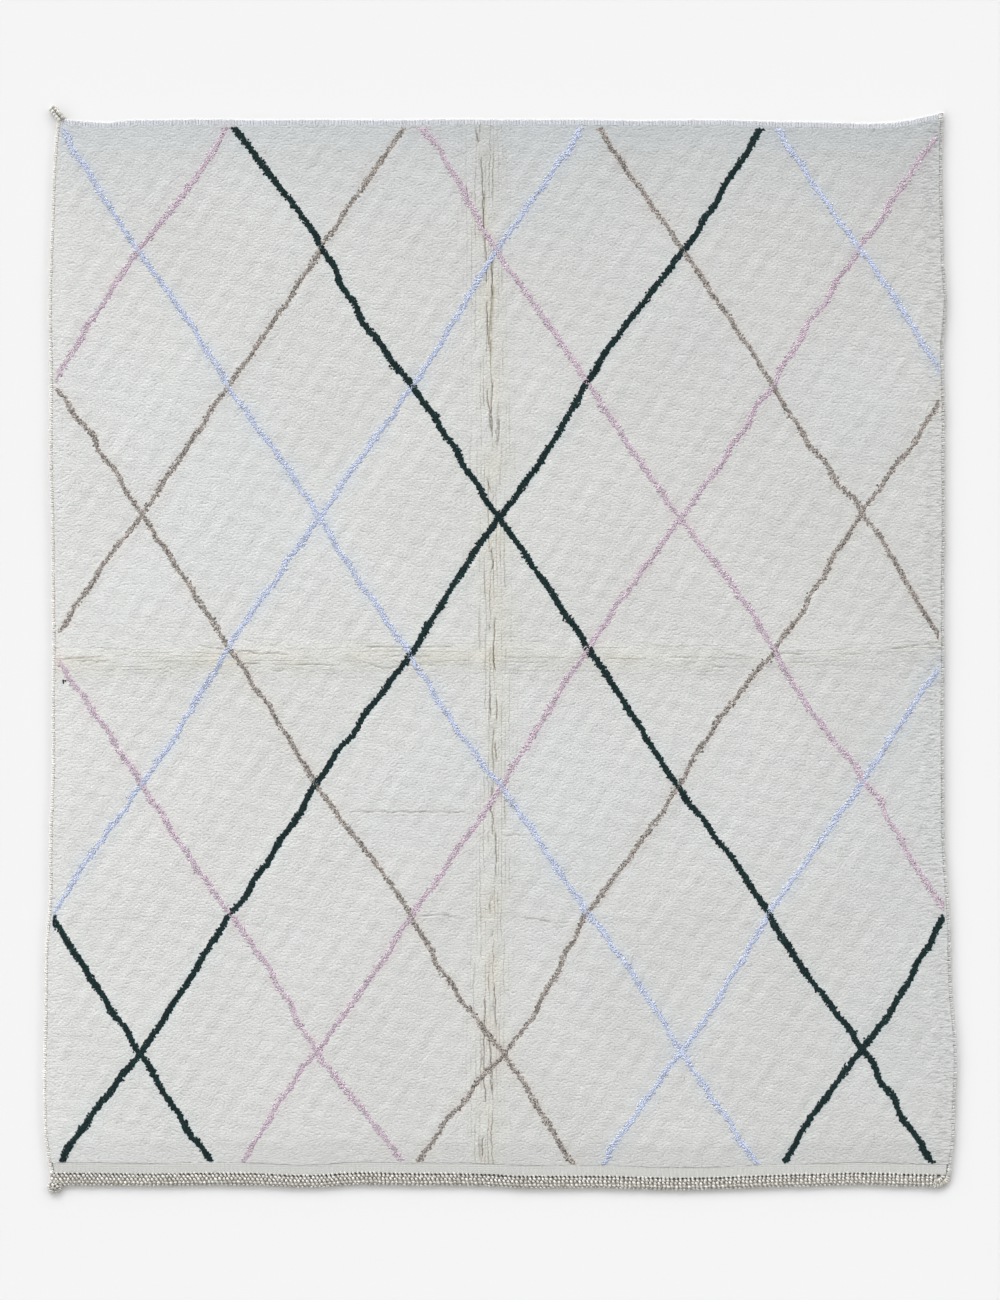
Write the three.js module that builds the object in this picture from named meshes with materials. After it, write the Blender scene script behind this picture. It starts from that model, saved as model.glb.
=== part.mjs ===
// A hand-knotted wool rug lying flat, about 2.5 m wide and 3 m long.
// Millimetres. X runs to the rug's right, Y to its back end and Z up. The numbers in the edge
// tables are measured from the middle of the rug.
import * as THREE from 'three';

const HALF_WIDTH = 1250;
const HALF_LENGTH = 1482;
const SIDE_GAP = 0.4;

const PILE_HEIGHT = 20;
const PILE_RIM_HEIGHT = 14;
const PILE_RIM_WIDTH = 10;
const PILE_LUMP = 1.2;
const LUMP_LENGTH = 85;
const CELL = 60;

const BAND_WIDTH = 24;
const BAND_HEIGHT = 8;
const PILE_RISE = 20;

const RIDGE_HEIGHT = 3.5;
const RIDGE_HALF_WIDTH = 42;
const CRACK_DEPTH = 5;
const CRACK_HALF_WIDTH = 9;
const CREASE_OFFSETS = [-75, -45, -15, 0, 15, 45, 75];

const SELVEDGE_WIDTH = 13;
const SELVEDGE_HEIGHT = 12;

const HEADING_WIDTH = 20;
const HEADING_HEIGHT = 9;

const PLAIT_WIDTH = 38;
const PLAIT_HEIGHT = 13;
const PLAIT_GROOVE = 4.5;
const STITCH_PITCH = 15;
const STITCH_RELIEF = 2.6;
const STITCH_SLANT = 8;
const CORNER_RADIUS_X = 48;
const CORNER_RADIUS_Y = 27;

const EDGE_WOBBLE = 0.9;
const WOBBLE_LENGTH = 57;

// The outer edges of the rug, front to back or left to right: at is the place along the edge and
// edge is how far out it lies there.
const LEFT_EDGE = [
  { at: -1480, edge: -1246 },
  { at: -1330, edge: -1265 },
  { at: -1150, edge: -1267 },
  { at: -830, edge: -1262 },
  { at: -660, edge: -1251 },
  { at: -240, edge: -1243 },
  { at: 220, edge: -1243 },
  { at: 600, edge: -1250 },
  { at: 1010, edge: -1251 },
  { at: 1340, edge: -1240 },
  { at: 1484, edge: -1231 },
];
const RIGHT_EDGE = [
  { at: -1480, edge: 1250 },
  { at: -1330, edge: 1265 },
  { at: -1160, edge: 1270 },
  { at: -830, edge: 1254 },
  { at: -410, edge: 1234 },
  { at: 90, edge: 1236 },
  { at: 600, edge: 1237 },
  { at: 850, edge: 1234 },
  { at: 970, edge: 1244 },
  { at: 1100, edge: 1234 },
  { at: 1400, edge: 1229 },
  { at: 1490, edge: 1233 },
];
const FRONT_EDGE = [
  { at: -1250, edge: -1478 },
  { at: -700, edge: -1478 },
  { at: -530, edge: -1485 },
  { at: -385, edge: -1476 },
  { at: -40, edge: -1479 },
  { at: 125, edge: -1486 },
  { at: 560, edge: -1490 },
  { at: 860, edge: -1480 },
  { at: 1000, edge: -1478 },
  { at: 1250, edge: -1482 },
];
const BACK_EDGE = [
  { at: -1250, edge: 1484 },
  { at: -1125, edge: 1475 },
  { at: -1050, edge: 1484 },
  { at: 0, edge: 1485 },
  { at: 610, edge: 1483 },
  { at: 1060, edge: 1474 },
  { at: 1145, edge: 1479 },
  { at: 1235, edge: 1499 },
];

// The two old fold lines, each wandering about the middle of the rug.
const LENGTHWISE_FOLD = [
  { at: -1482, edge: -33 },
  { at: -965, edge: -31 },
  { at: -690, edge: -19 },
  { at: 40, edge: -14 },
  { at: 260, edge: -22 },
  { at: 700, edge: -24 },
  { at: 1120, edge: -42 },
  { at: 1482, edge: -42 },
];
const CROSSWISE_FOLD = [
  { at: -1250, edge: -25 },
  { at: -690, edge: -14 },
  { at: 0, edge: -6 },
  { at: 420, edge: -11 },
  { at: 840, edge: -6 },
  { at: 1250, edge: 14 },
];

const easeBetween = (a, b, t) => a + (b - a) * t * t * (3 - 2 * t);

// Reads a table smoothly between its rows.
function readEdge(rows, place) {
  const last = rows[rows.length - 1];
  if (place <= rows[0].at) return rows[0].edge;
  if (place >= last.at) return last.edge;
  const next = rows.findIndex((row) => row.at > place);
  const from = rows[next - 1];
  const to = rows[next];
  return easeBetween(from.edge, to.edge, (place - from.at) / (to.at - from.at));
}

// The slight unevenness of a hand-made edge.
function wobble(place, phase) {
  const turn = place / WOBBLE_LENGTH;
  return EDGE_WOBBLE * (Math.sin(turn + phase) + 0.6 * Math.sin(0.44 * turn + 2 * phase));
}

// The edges of the pile field, inside the selvedges, the heading and the plait.
function fieldEdges(x, y) {
  return {
    left: readEdge(LEFT_EDGE, y) + SELVEDGE_WIDTH + SIDE_GAP + wobble(y, 1),
    right: readEdge(RIGHT_EDGE, y) - SELVEDGE_WIDTH - SIDE_GAP + wobble(y, 2),
    front: readEdge(FRONT_EDGE, x) + PLAIT_WIDTH + SIDE_GAP + wobble(x, 3),
    back: readEdge(BACK_EDGE, x) - HEADING_WIDTH - SIDE_GAP + wobble(x, 4),
  };
}

// Grid lines across one half of the field, from the rim to where the fold's own lines begin.
function evenLines(half, firstLines) {
  const innermost = CREASE_OFFSETS[CREASE_OFFSETS.length - 1] + CELL;
  const outermost = half - firstLines[firstLines.length - 1];
  const count = Math.round((outermost - innermost) / CELL);
  const lines = firstLines.map((inset) => half - inset);
  for (let i = 1; i <= count; i++) {
    lines.push(outermost - ((outermost - innermost) * i) / count);
  }
  return lines;
}

function gridLines(half, lowRim, highRim) {
  const low = evenLines(half, lowRim).map((place) => ({ place: -place, onFold: false }));
  const fold = CREASE_OFFSETS.map((offset) => ({ place: offset, onFold: true }));
  const high = evenLines(half, highRim).map((place) => ({ place, onFold: false }));
  return [...low, ...fold, ...high.reverse()];
}

const columns = gridLines(HALF_WIDTH, [0, PILE_RIM_WIDTH], [0, PILE_RIM_WIDTH]);
const rows = gridLines(
  HALF_LENGTH,
  [0, BAND_WIDTH, BAND_WIDTH + PILE_RISE / 3, BAND_WIDTH + PILE_RISE],
  [0, PILE_RIM_WIDTH],
);

// Where a column and a row of the grid cross. Lines far from the folds stretch to meet the edges.
function fieldPoint(column, row) {
  const ends = fieldEdges(column.place, 0);
  const lengthShare = Math.abs(row.place) / HALF_LENGTH;
  const endShift = row.place < 0 ? ends.front + HALF_LENGTH : ends.back - HALF_LENGTH;
  const y = row.onFold
    ? readEdge(CROSSWISE_FOLD, column.place) + row.place
    : row.place + lengthShare * endShift;
  const sides = fieldEdges(0, y);
  const widthShare = Math.abs(column.place) / HALF_WIDTH;
  const sideShift = column.place < 0 ? sides.left + HALF_WIDTH : sides.right - HALF_WIDTH;
  const x = column.onFold
    ? readEdge(LENGTHWISE_FOLD, y) + column.place
    : column.place + widthShare * sideShift;
  return new THREE.Vector2(x, y);
}

const bell = (distance, halfWidth) => Math.exp(-((distance / halfWidth) ** 2));

// How the pile stands up along an old fold and parts on its crest.
function foldRelief(distance) {
  const ridge = RIDGE_HEIGHT * bell(distance, RIDGE_HALF_WIDTH);
  return ridge - CRACK_DEPTH * bell(distance, CRACK_HALF_WIDTH);
}

function pileHeight(column, row, point) {
  const sideInset = HALF_WIDTH - Math.abs(column.place);
  const backInset = HALF_LENGTH - row.place;
  const frontInset = HALF_LENGTH + row.place;
  const rimShare = Math.min(1, Math.min(sideInset, backInset) / PILE_RIM_WIDTH);
  const across = point.x / LUMP_LENGTH;
  const along = point.y / LUMP_LENGTH;
  const lump =
    Math.sin(across + 1.3 * Math.sin(0.45 * along)) *
    Math.sin(0.87 * along + 1.1 * Math.sin(0.37 * across));
  const pile =
    PILE_HEIGHT +
    PILE_LUMP * lump +
    foldRelief(point.x - readEdge(LENGTHWISE_FOLD, point.y)) +
    foldRelief(point.y - readEdge(CROSSWISE_FOLD, point.x));
  const frontShare = THREE.MathUtils.clamp((frontInset - BAND_WIDTH) / PILE_RISE, 0, 1);
  const height = easeBetween(BAND_HEIGHT, pile, Math.sqrt(frontShare));
  return Math.min(height, THREE.MathUtils.lerp(PILE_RIM_HEIGHT, height, rimShare));
}

function solidFrom(points, faces) {
  const geometry = new THREE.BufferGeometry();
  const flat = points.flatMap((point) => [point.x, point.y, point.z]);
  geometry.setAttribute('position', new THREE.Float32BufferAttribute(flat, 3));
  geometry.setIndex(faces.flat());
  geometry.computeVertexNormals();
  return geometry;
}

// The ground weave and its pile in one slab: a low grid on top, an upright rim and a flat
// underside, whose rim is joined to four points well inside it.
function fieldGeometry() {
  const points = [];
  for (const row of rows) {
    for (const column of columns) {
      const flat = fieldPoint(column, row);
      points.push(new THREE.Vector3(flat.x, flat.y, pileHeight(column, row, flat)));
    }
  }
  const wide = columns.length;
  const long = rows.length;
  const at = (column, row) => row * wide + column;
  const faces = [];
  for (let r = 0; r + 1 < long; r++) {
    for (let c = 0; c + 1 < wide; c++) {
      faces.push([at(c, r), at(c + 1, r), at(c + 1, r + 1)]);
      faces.push([at(c, r), at(c + 1, r + 1), at(c, r + 1)]);
    }
  }

  const rim = [];
  for (let c = 0; c + 1 < wide; c++) rim.push(at(c, 0));
  for (let r = 0; r + 1 < long; r++) rim.push(at(wide - 1, r));
  for (let c = wide - 1; c > 0; c--) rim.push(at(c, long - 1));
  for (let r = long - 1; r > 0; r--) rim.push(at(0, r));
  const foot = rim.map((index) => {
    points.push(new THREE.Vector3(points[index].x, points[index].y, 0));
    return points.length - 1;
  });

  const insetShare = 0.8;
  const cornerX = HALF_WIDTH * insetShare;
  const cornerY = HALF_LENGTH * insetShare;
  const corners = new Map();
  for (const [signX, signY] of [[-1, -1], [1, -1], [1, 1], [-1, 1]]) {
    points.push(new THREE.Vector3(signX * cornerX, signY * cornerY, 0));
    corners.set(`${signX},${signY}`, points.length - 1);
  }
  const nearCorner = (index) => {
    const point = points[index];
    return corners.get(`${point.x < 0 ? -1 : 1},${point.y < 0 ? -1 : 1}`);
  };
  rim.forEach((top, k) => {
    const next = (k + 1) % rim.length;
    faces.push([top, foot[k], foot[next]], [top, foot[next], rim[next]]);
    const corner = nearCorner(foot[k]);
    const nextCorner = nearCorner(foot[next]);
    faces.push([foot[next], foot[k], corner]);
    if (nextCorner !== corner) faces.push([foot[next], corner, nextCorner]);
  });
  const [frontLeft, frontRight, backRight, backLeft] = corners.values();
  faces.push([frontLeft, backRight, frontRight], [frontLeft, backLeft, backRight]);
  return solidFrom(points, faces);
}

// A closed body from like rings of points, one behind the other, capped at both ends. The rings
// run counterclockwise when looked at from the far end.
function ringSolid(rings) {
  const points = rings.flat();
  const around = rings[0].length;
  const faces = [];
  for (let r = 0; r + 1 < rings.length; r++) {
    for (let i = 0; i < around; i++) {
      const here = r * around + i;
      const beside = r * around + ((i + 1) % around);
      faces.push([here, beside, beside + around], [here, beside + around, here + around]);
    }
  }
  const cap = (ring, start, turn) => {
    const middle = new THREE.Vector3();
    ring.forEach((point) => middle.addScaledVector(point, 1 / around));
    points.push(middle);
    for (let i = 0; i < around; i++) {
      const pair = [start + i, start + ((i + 1) % around)];
      if (turn) pair.reverse();
      faces.push([points.length - 1, ...pair]);
    }
  };
  cap(rings[0], 0, true);
  cap(rings[rings.length - 1], (rings.length - 1) * around, false);
  return solidFrom(points, faces);
}

// The overcast cord along one side, thicker and thinner by turns. Its inner face follows the
// field's edge; side is -1 on the left and 1 on the right.
function selvedgeGeometry(side) {
  const column = side < 0 ? columns[0] : columns[columns.length - 1];
  const innerEdge = rows.map((row) => fieldPoint(column, row));
  const backEnd = innerEdge[innerEdge.length - 1].clone();
  backEnd.y += SIDE_GAP + HEADING_WIDTH;
  const section = [
    { out: 1.5, up: 0 },
    { out: 0, up: 0.35 },
    { out: 2, up: 0.8 },
    { out: SELVEDGE_WIDTH / 2, up: 1 },
    { out: SELVEDGE_WIDTH - 2, up: 0.8 },
    { out: SELVEDGE_WIDTH, up: 0.35 },
    { out: SELVEDGE_WIDTH - 1.5, up: 0 },
  ];
  const rings = [...innerEdge, backEnd].map((inner, i) => {
    const height = SELVEDGE_HEIGHT * (1 + 0.08 * Math.sin(1.9 * i));
    const ring = section.map(({ out, up }) => {
      const x = inner.x + side * (SIDE_GAP + out);
      return new THREE.Vector3(x, inner.y, height * up);
    });
    return side < 0 ? ring.reverse() : ring;
  });
  return ringSolid(rings);
}

// The twined heading across the back end, a low crowned strip that ends inside both selvedges.
function headingGeometry() {
  const row = rows[rows.length - 1];
  const section = [
    { out: 0, up: 0 },
    { out: HEADING_WIDTH, up: 0 },
    { out: HEADING_WIDTH, up: 0.5 },
    { out: HEADING_WIDTH * 0.75, up: 0.95 },
    { out: HEADING_WIDTH * 0.3, up: 1 },
    { out: 0, up: 0.8 },
  ];
  const rings = columns.map((column) => {
    const inner = fieldPoint(column, row);
    return section.map(({ out, up }) => {
      return new THREE.Vector3(inner.x, inner.y + SIDE_GAP + out, HEADING_HEIGHT * up);
    });
  });
  return ringSolid(rings);
}

// The field's front edge, carried on to the outer faces of the selvedges.
function frontEdgeLine() {
  const line = columns.map((column) => fieldPoint(column, rows[0]));
  const reach = SIDE_GAP + SELVEDGE_WIDTH;
  const leftEnd = line[0].clone();
  leftEnd.x -= reach;
  const rightEnd = line[line.length - 1].clone();
  rightEnd.x += reach;
  return [leftEnd, ...line, rightEnd];
}

// The plait that finishes the front end: two rows of slanted stitches that meet in a groove. Its
// right end is rounded off.
function plaitGeometry() {
  const line = frontEdgeLine();
  const stations = [line[0]];
  for (let i = 0; i + 1 < line.length; i++) {
    const halves = 2 * Math.max(1, Math.round(line[i].distanceTo(line[i + 1]) / STITCH_PITCH));
    for (let k = 1; k <= halves; k++) {
      stations.push(line[i].clone().lerp(line[i + 1], k / halves));
    }
  }
  const rightEnd = stations[stations.length - 1].x;
  const rings = stations.map((inner, i) => {
    const crest = i % 2 === 0 ? 0 : STITCH_RELIEF;
    const inCorner = THREE.MathUtils.clamp((inner.x - rightEnd) / CORNER_RADIUS_X + 1, 0, 1);
    const cut = CORNER_RADIUS_Y * (1 - Math.sqrt(1 - inCorner * inCorner));
    const depth = PLAIT_WIDTH - cut;
    const atEnd = i === 0 || i === stations.length - 1;
    const slant = atEnd ? 0 : STITCH_SLANT * (1 - inCorner);
    const section = [
      { out: 0.04, up: 0 },
      { out: 0.22, up: PLAIT_HEIGHT - STITCH_RELIEF + crest },
      { out: 0.5, up: PLAIT_HEIGHT - PLAIT_GROOVE + crest / 2, slant },
      { out: 0.78, up: PLAIT_HEIGHT - STITCH_RELIEF + crest },
      { out: 1, up: 5 + crest },
      { out: 0.97, up: 0 },
    ];
    return section.map((spot) => {
      const y = inner.y - SIDE_GAP - spot.out * depth;
      return new THREE.Vector3(inner.x + (spot.slant ?? 0), y, spot.up);
    });
  });
  return ringSolid(rings);
}

// A plaited end of warps, flat underneath. Each row of the table is one section: where its middle
// lies from the start, and how wide and high it is there. Sections run across the rug.
function backTailGeometry() {
  const cordTop = fieldPoint(columns[0], rows[rows.length - 1]);
  const startX = cordTop.x - SIDE_GAP - SELVEDGE_WIDTH / 2;
  const startY = cordTop.y + 2 * SIDE_GAP + HEADING_WIDTH;
  const sections = [
    { alongX: 5, alongY: 0, width: 23, height: 12 },
    { alongX: 2, alongY: 4, width: 26, height: 15 },
    { alongX: -3, alongY: 8, width: 22, height: 12 },
    { alongX: -6, alongY: 12, width: 25, height: 15 },
    { alongX: -11, alongY: 16, width: 21, height: 12 },
    { alongX: -13, alongY: 20, width: 24, height: 15 },
    { alongX: -17, alongY: 25, width: 20, height: 12 },
    { alongX: -18, alongY: 30, width: 17, height: 13 },
    { alongX: -20, alongY: 35, width: 9, height: 8 },
  ];
  const rings = sections.map(({ alongX, alongY, width, height }) => {
    const ring = [];
    for (let k = 0; k < 7; k++) {
      const angle = (Math.PI * k) / 6;
      const x = startX + alongX + (width / 2) * Math.cos(angle);
      ring.push(new THREE.Vector3(x, startY + alongY, height * Math.sin(angle)));
    }
    ring[0].z = 0;
    ring[6].z = 0;
    return ring.reverse();
  });
  return ringSolid(rings);
}

// The other end of the left selvedge's warps, plaited and turned back in a half round against the
// front edge, with its stitches raised all round.
function frontTailGeometry() {
  const start = frontEdgeLine()[0];
  const middleX = start.x + 14;
  const middleY = start.y - 2 * SIDE_GAP - PLAIT_WIDTH;
  const stitches = 7;
  const steps = 2 * stitches;
  const rings = [];
  for (let i = 0; i <= steps; i++) {
    const angle = Math.PI + (Math.PI * i) / steps;
    const crest = i % 2 === 0 ? 0 : 1;
    const section = [
      { out: 3, up: 0 },
      { out: 6, up: 9 + crest },
      { out: 12, up: 13 + 2.5 * crest },
      { out: 18 + crest, up: 9 + 2 * crest },
      { out: 20 + 2 * crest, up: 3 },
      { out: 19 + crest, up: 0 },
    ];
    const ring = section.map(({ out, up }) => {
      const x = middleX + 1.1 * out * Math.cos(angle);
      return new THREE.Vector3(x, middleY + out * Math.sin(angle), up);
    });
    rings.push(ring);
  }
  return ringSolid(rings);
}

const ivoryWool = { color: 0xd7d8d4, roughness: 0.95, metalness: 0 };
const yellowishWool = { color: 0xd2d0c4, roughness: 0.95, metalness: 0 };
const greyedWool = { color: 0xd5d6d7, roughness: 0.95, metalness: 0 };
const speckledWool = { color: 0xb2aea6, roughness: 0.95, metalness: 0 };

function piece(name, geometry, finish) {
  const mesh = new THREE.Mesh(geometry, new THREE.MeshStandardMaterial(finish));
  mesh.name = name;
  return mesh;
}

const rug = new THREE.Group();
rug.add(
  piece('pile_field', fieldGeometry(), ivoryWool),
  piece('left_selvedge', selvedgeGeometry(-1), yellowishWool),
  piece('right_selvedge', selvedgeGeometry(1), greyedWool),
  piece('back_heading', headingGeometry(), greyedWool),
  piece('front_plait', plaitGeometry(), speckledWool),
  piece('back_left_tail', backTailGeometry(), speckledWool),
  piece('front_left_tail', frontTailGeometry(), speckledWool),
);

// The origin is the middle of the whole rug, on the floor.
const whole = new THREE.Box3().setFromObject(rug);
const middle = whole.getCenter(new THREE.Vector3());
rug.position.set(-middle.x, -middle.y, 0);

export default rug;
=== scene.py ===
import math

import bmesh
import bpy
import numpy as np
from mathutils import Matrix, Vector


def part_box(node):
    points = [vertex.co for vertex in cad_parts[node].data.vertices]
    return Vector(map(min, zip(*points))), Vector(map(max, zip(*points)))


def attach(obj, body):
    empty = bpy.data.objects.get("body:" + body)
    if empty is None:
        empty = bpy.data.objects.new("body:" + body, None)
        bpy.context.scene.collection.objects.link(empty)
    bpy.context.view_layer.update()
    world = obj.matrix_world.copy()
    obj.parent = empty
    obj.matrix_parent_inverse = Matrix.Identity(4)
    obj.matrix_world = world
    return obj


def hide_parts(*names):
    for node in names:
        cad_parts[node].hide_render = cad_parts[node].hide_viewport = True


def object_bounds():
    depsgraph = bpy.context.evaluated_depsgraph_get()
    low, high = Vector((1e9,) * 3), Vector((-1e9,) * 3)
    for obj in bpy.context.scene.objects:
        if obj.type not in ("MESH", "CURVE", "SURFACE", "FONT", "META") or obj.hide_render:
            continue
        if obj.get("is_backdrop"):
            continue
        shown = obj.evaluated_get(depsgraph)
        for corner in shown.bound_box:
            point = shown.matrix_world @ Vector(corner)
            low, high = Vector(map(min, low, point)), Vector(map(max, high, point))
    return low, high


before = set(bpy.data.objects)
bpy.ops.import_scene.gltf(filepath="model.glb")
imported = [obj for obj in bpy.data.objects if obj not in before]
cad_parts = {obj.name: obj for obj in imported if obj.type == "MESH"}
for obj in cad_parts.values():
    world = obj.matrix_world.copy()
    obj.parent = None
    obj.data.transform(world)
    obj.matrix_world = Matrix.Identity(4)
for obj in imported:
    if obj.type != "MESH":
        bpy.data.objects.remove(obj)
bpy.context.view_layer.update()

# The studio: a camera straight above the rug, on a long lens, a pale floor, a low soft lamp beyond
# the rug's back end and a glow from all round.
MM_PER_PIXEL = 2.78
PHOTO_HEIGHT = 1300
CAMERA_HEIGHT = 9.0
SENSOR = 36.0
VIEW_END = 200.0


def in_scene(name, data):
    """Puts a mesh, a camera or a lamp into the scene as an object of its own."""
    made = bpy.data.objects.new(name, data)
    bpy.context.collection.objects.link(made)
    return made


def mesh_of(name, spots, faces=(), edges=()):
    """A mesh from its points and the faces or edges between them."""
    mesh = bpy.data.meshes.new(name)
    mesh.from_pydata(spots, edges, faces)
    return mesh


camera_data = bpy.data.cameras.new("camera")
camera_data.sensor_width = SENSOR
camera_data.lens = SENSOR * CAMERA_HEIGHT / (PHOTO_HEIGHT * MM_PER_PIXEL / 1000)
camera_data.clip_end = VIEW_END
camera = in_scene("camera", camera_data)
camera.location = (0.0, 0.0, CAMERA_HEIGHT)
bpy.context.scene.camera = camera


class Value:
    """A number that varies over the wool, as one output of a finish's nodes."""

    def __init__(self, finish, socket):
        self.finish = finish
        self.socket = socket

    def output(self, name):
        return Value(self.finish, self.socket.node.outputs[name])

    def joined(self, operation, first, second):
        return self.finish.node("ShaderNodeMath", {"operation": operation}, {0: first, 1: second})

    def __add__(self, other):
        return self.joined("ADD", self, other)

    def __radd__(self, other):
        return self.joined("ADD", other, self)

    def __sub__(self, other):
        return self.joined("SUBTRACT", self, other)

    def __rsub__(self, other):
        return self.joined("SUBTRACT", other, self)

    def __mul__(self, other):
        return self.joined("MULTIPLY", self, other)

    def __rmul__(self, other):
        return self.joined("MULTIPLY", other, self)


class Finish:
    """The material of one piece, built up node by node."""

    def __init__(self, name, roughness=0.9, sheen=0.0):
        self.material = bpy.data.materials.new(name)
        self.material.use_nodes = True
        self.tree = self.material.node_tree
        self.shader = self.tree.nodes["Principled BSDF"]
        self.shader.inputs["Roughness"].default_value = roughness
        self.shader.inputs["Sheen Weight"].default_value = sheen
        self.shader.inputs["Sheen Roughness"].default_value = 0.5
        self.shader.inputs["Specular IOR Level"].default_value = 0.2

    def node(self, kind, settings, inputs, out=0):
        made = self.tree.nodes.new(kind)
        for setting, choice in settings.items():
            setattr(made, setting, choice)
        for name, value in inputs.items():
            self.feed(made.inputs[name], value)
        return Value(self, made.outputs[out])

    def feed(self, socket, value):
        if isinstance(value, Value):
            self.tree.links.new(value.socket, socket)
        else:
            socket.default_value = value

    def places(self):
        return self.node("ShaderNodeTexCoord", {}, {}, out="Object")

    def noise(self, places, scale, detail=2.0):
        inputs = {"Vector": places, "Scale": scale, "Detail": detail}
        return self.node("ShaderNodeTexNoise", {}, inputs)

    def attribute(self, name):
        return self.node("ShaderNodeAttribute", {"attribute_name": name}, {}, out="Fac")

    def attribute_colour(self, name):
        return self.node("ShaderNodeAttribute", {"attribute_name": name}, {}, out="Color")

    def blend(self, share, first, second, way="MIX"):
        settings = {"data_type": "RGBA", "blend_type": way, "clamp_factor": True}
        return self.node("ShaderNodeMix", settings, {0: share, 6: first, 7: second}, out=2)

    def tinted(self, colour, tint, share):
        """The colour with a tint over it, as much as the share says."""
        return self.blend(share, colour, self.blend(1.0, colour, tint, "MULTIPLY"))

    def drawn_out(self, places, shares):
        return self.node("ShaderNodeVectorMath", {"operation": "MULTIPLY"}, {0: places, 1: shares})

    def clamped(self, value):
        settings = {"operation": "MULTIPLY", "use_clamp": True}
        return self.node("ShaderNodeMath", settings, {0: value, 1: 1.0})

    def above(self, value, cut, steepness):
        """0 where a value is below the cut, and 1 well above it."""
        return self.clamped((value - cut) * steepness)

    def wave(self, places, way, scale, distortion, detail, detail_scale):
        return self.node("ShaderNodeTexWave", {"bands_direction": way}, {
            "Vector": places, "Scale": scale, "Distortion": distortion,
            "Detail": detail, "Detail Scale": detail_scale})

    def grey(self, value):
        inputs = {"Red": value, "Green": value, "Blue": value}
        return self.node("ShaderNodeCombineColor", {}, inputs)

    def colour(self, value):
        self.feed(self.shader.inputs["Base Color"], value)

    def bump(self, height, strength, distance):
        inputs = {"Height": height, "Strength": strength, "Distance": distance}
        normal = self.node("ShaderNodeBump", {}, inputs)
        self.feed(self.shader.inputs["Normal"], normal)


FLOOR_COLOUR = (0.80, 0.80, 0.80, 1.0)
FLOOR_HALF = 60.0
floor_corners = [(-1, -1), (1, -1), (1, 1), (-1, 1)]
floor_corners = [(x * FLOOR_HALF, y * FLOOR_HALF, 0.0) for x, y in floor_corners]
floor_mesh = mesh_of("floor", floor_corners, [(0, 1, 2, 3)])
floor = in_scene("floor", floor_mesh)
floor_finish = Finish("studio_floor", roughness=1.0)
floor_finish.colour(FLOOR_COLOUR)
floor_mesh.materials.append(floor_finish.material)
floor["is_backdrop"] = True


def tree_node(tree, kind, settings, inputs):
    """Adds one node to a tree; an input is a value or another node's output."""
    made = tree.nodes.new(kind)
    for setting, choice in settings.items():
        setattr(made, setting, choice)
    for name, value in inputs.items():
        if isinstance(value, bpy.types.NodeSocket):
            tree.links.new(value, made.inputs[name])
        else:
            made.inputs[name].default_value = value
    return made


# A low lamp beyond the back end, for the longest shadow, and a glow from all round that is
# brightest at a slant, and brighter from the back left.
LAMP_STRENGTH = 0.9
LAMP_ELEVATION = math.radians(24)
LAMP_TURN = math.radians(12)
LAMP_SPREAD = math.radians(18)
lamp_data = bpy.data.lights.new("softbox", "SUN")
lamp_data.energy = LAMP_STRENGTH
lamp_data.angle = LAMP_SPREAD
lamp = in_scene("softbox", lamp_data)
to_lamp = Vector((
    -math.sin(LAMP_TURN) * math.cos(LAMP_ELEVATION),
    math.cos(LAMP_TURN) * math.cos(LAMP_ELEVATION),
    math.sin(LAMP_ELEVATION),
))
lamp.rotation_euler = to_lamp.to_track_quat("Z", "Y").to_euler()

GLOW_BASE = 0.357
GLOW_RING = 10.0
RING_HEIGHT = 0.35
RING_WIDTH = 0.15
GLOW_LEAN = (-0.29, 0.80, 0.0)
world = bpy.data.worlds.new("studio")
world.use_nodes = True
bpy.context.scene.world = world
glow = world.node_tree
direction = glow.nodes.new("ShaderNodeTexCoord").outputs["Generated"]
height = tree_node(glow, "ShaderNodeSeparateXYZ", {}, {0: direction}).outputs["Z"]


def glow_maths(operation, *values):
    inputs = dict(enumerate(values))
    return tree_node(glow, "ShaderNodeMath", {"operation": operation}, inputs).outputs[0]


off = glow_maths("MULTIPLY_ADD", height, 1 / RING_WIDTH, -RING_HEIGHT / RING_WIDTH)
ring = glow_maths("POWER", math.exp(-1), glow_maths("MULTIPLY", off, off))
ringed = glow_maths("MULTIPLY_ADD", ring, GLOW_BASE * GLOW_RING, GLOW_BASE)
lean = tree_node(glow, "ShaderNodeVectorMath", {"operation": "DOT_PRODUCT"}, {
    0: direction, 1: GLOW_LEAN}).outputs["Value"]
leaned = glow_maths("MULTIPLY_ADD", ringed, lean, ringed)
glow.links.new(leaned, glow.nodes["Background"].inputs["Strength"])
glow.nodes["Background"].inputs["Color"].default_value = (1.0, 1.0, 1.0, 1.0)
bpy.context.scene.view_settings.view_transform = "Standard"

# The ground weave: one flat-woven wool cloth that carries the knots, with a plain band without
# knots at its front end. It lies flat but for two old folds, along which it still stands up.
CLOTH_THICK = 0.006
CLOTH_CELL = 0.050
BAND_WIDTH = 0.026
BAND_TOP = 0.0125
BAND_ROWS = [0.0, 0.03, 0.35, 0.92, 0.95, 0.97]
BAND_CROWN = [0.97, 1.0, 1.0, 1.0, 1.0, 0.97, 0.0]
BAND_LAP = 0.0028
FOLD_LIFT = 0.0020
FOLD_HALF = 0.042
UNDULATION = 0.0012
UNDULATION_LENGTH = 0.085
CLOTH_COLOUR = (0.575, 0.577, 0.565, 1.0)
CLOTH_SHADE = (0.53, 0.527, 0.505, 1.0)
OUTLINE_INSIDE = 0.9
ON_FLOOR = 1e-4

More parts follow.
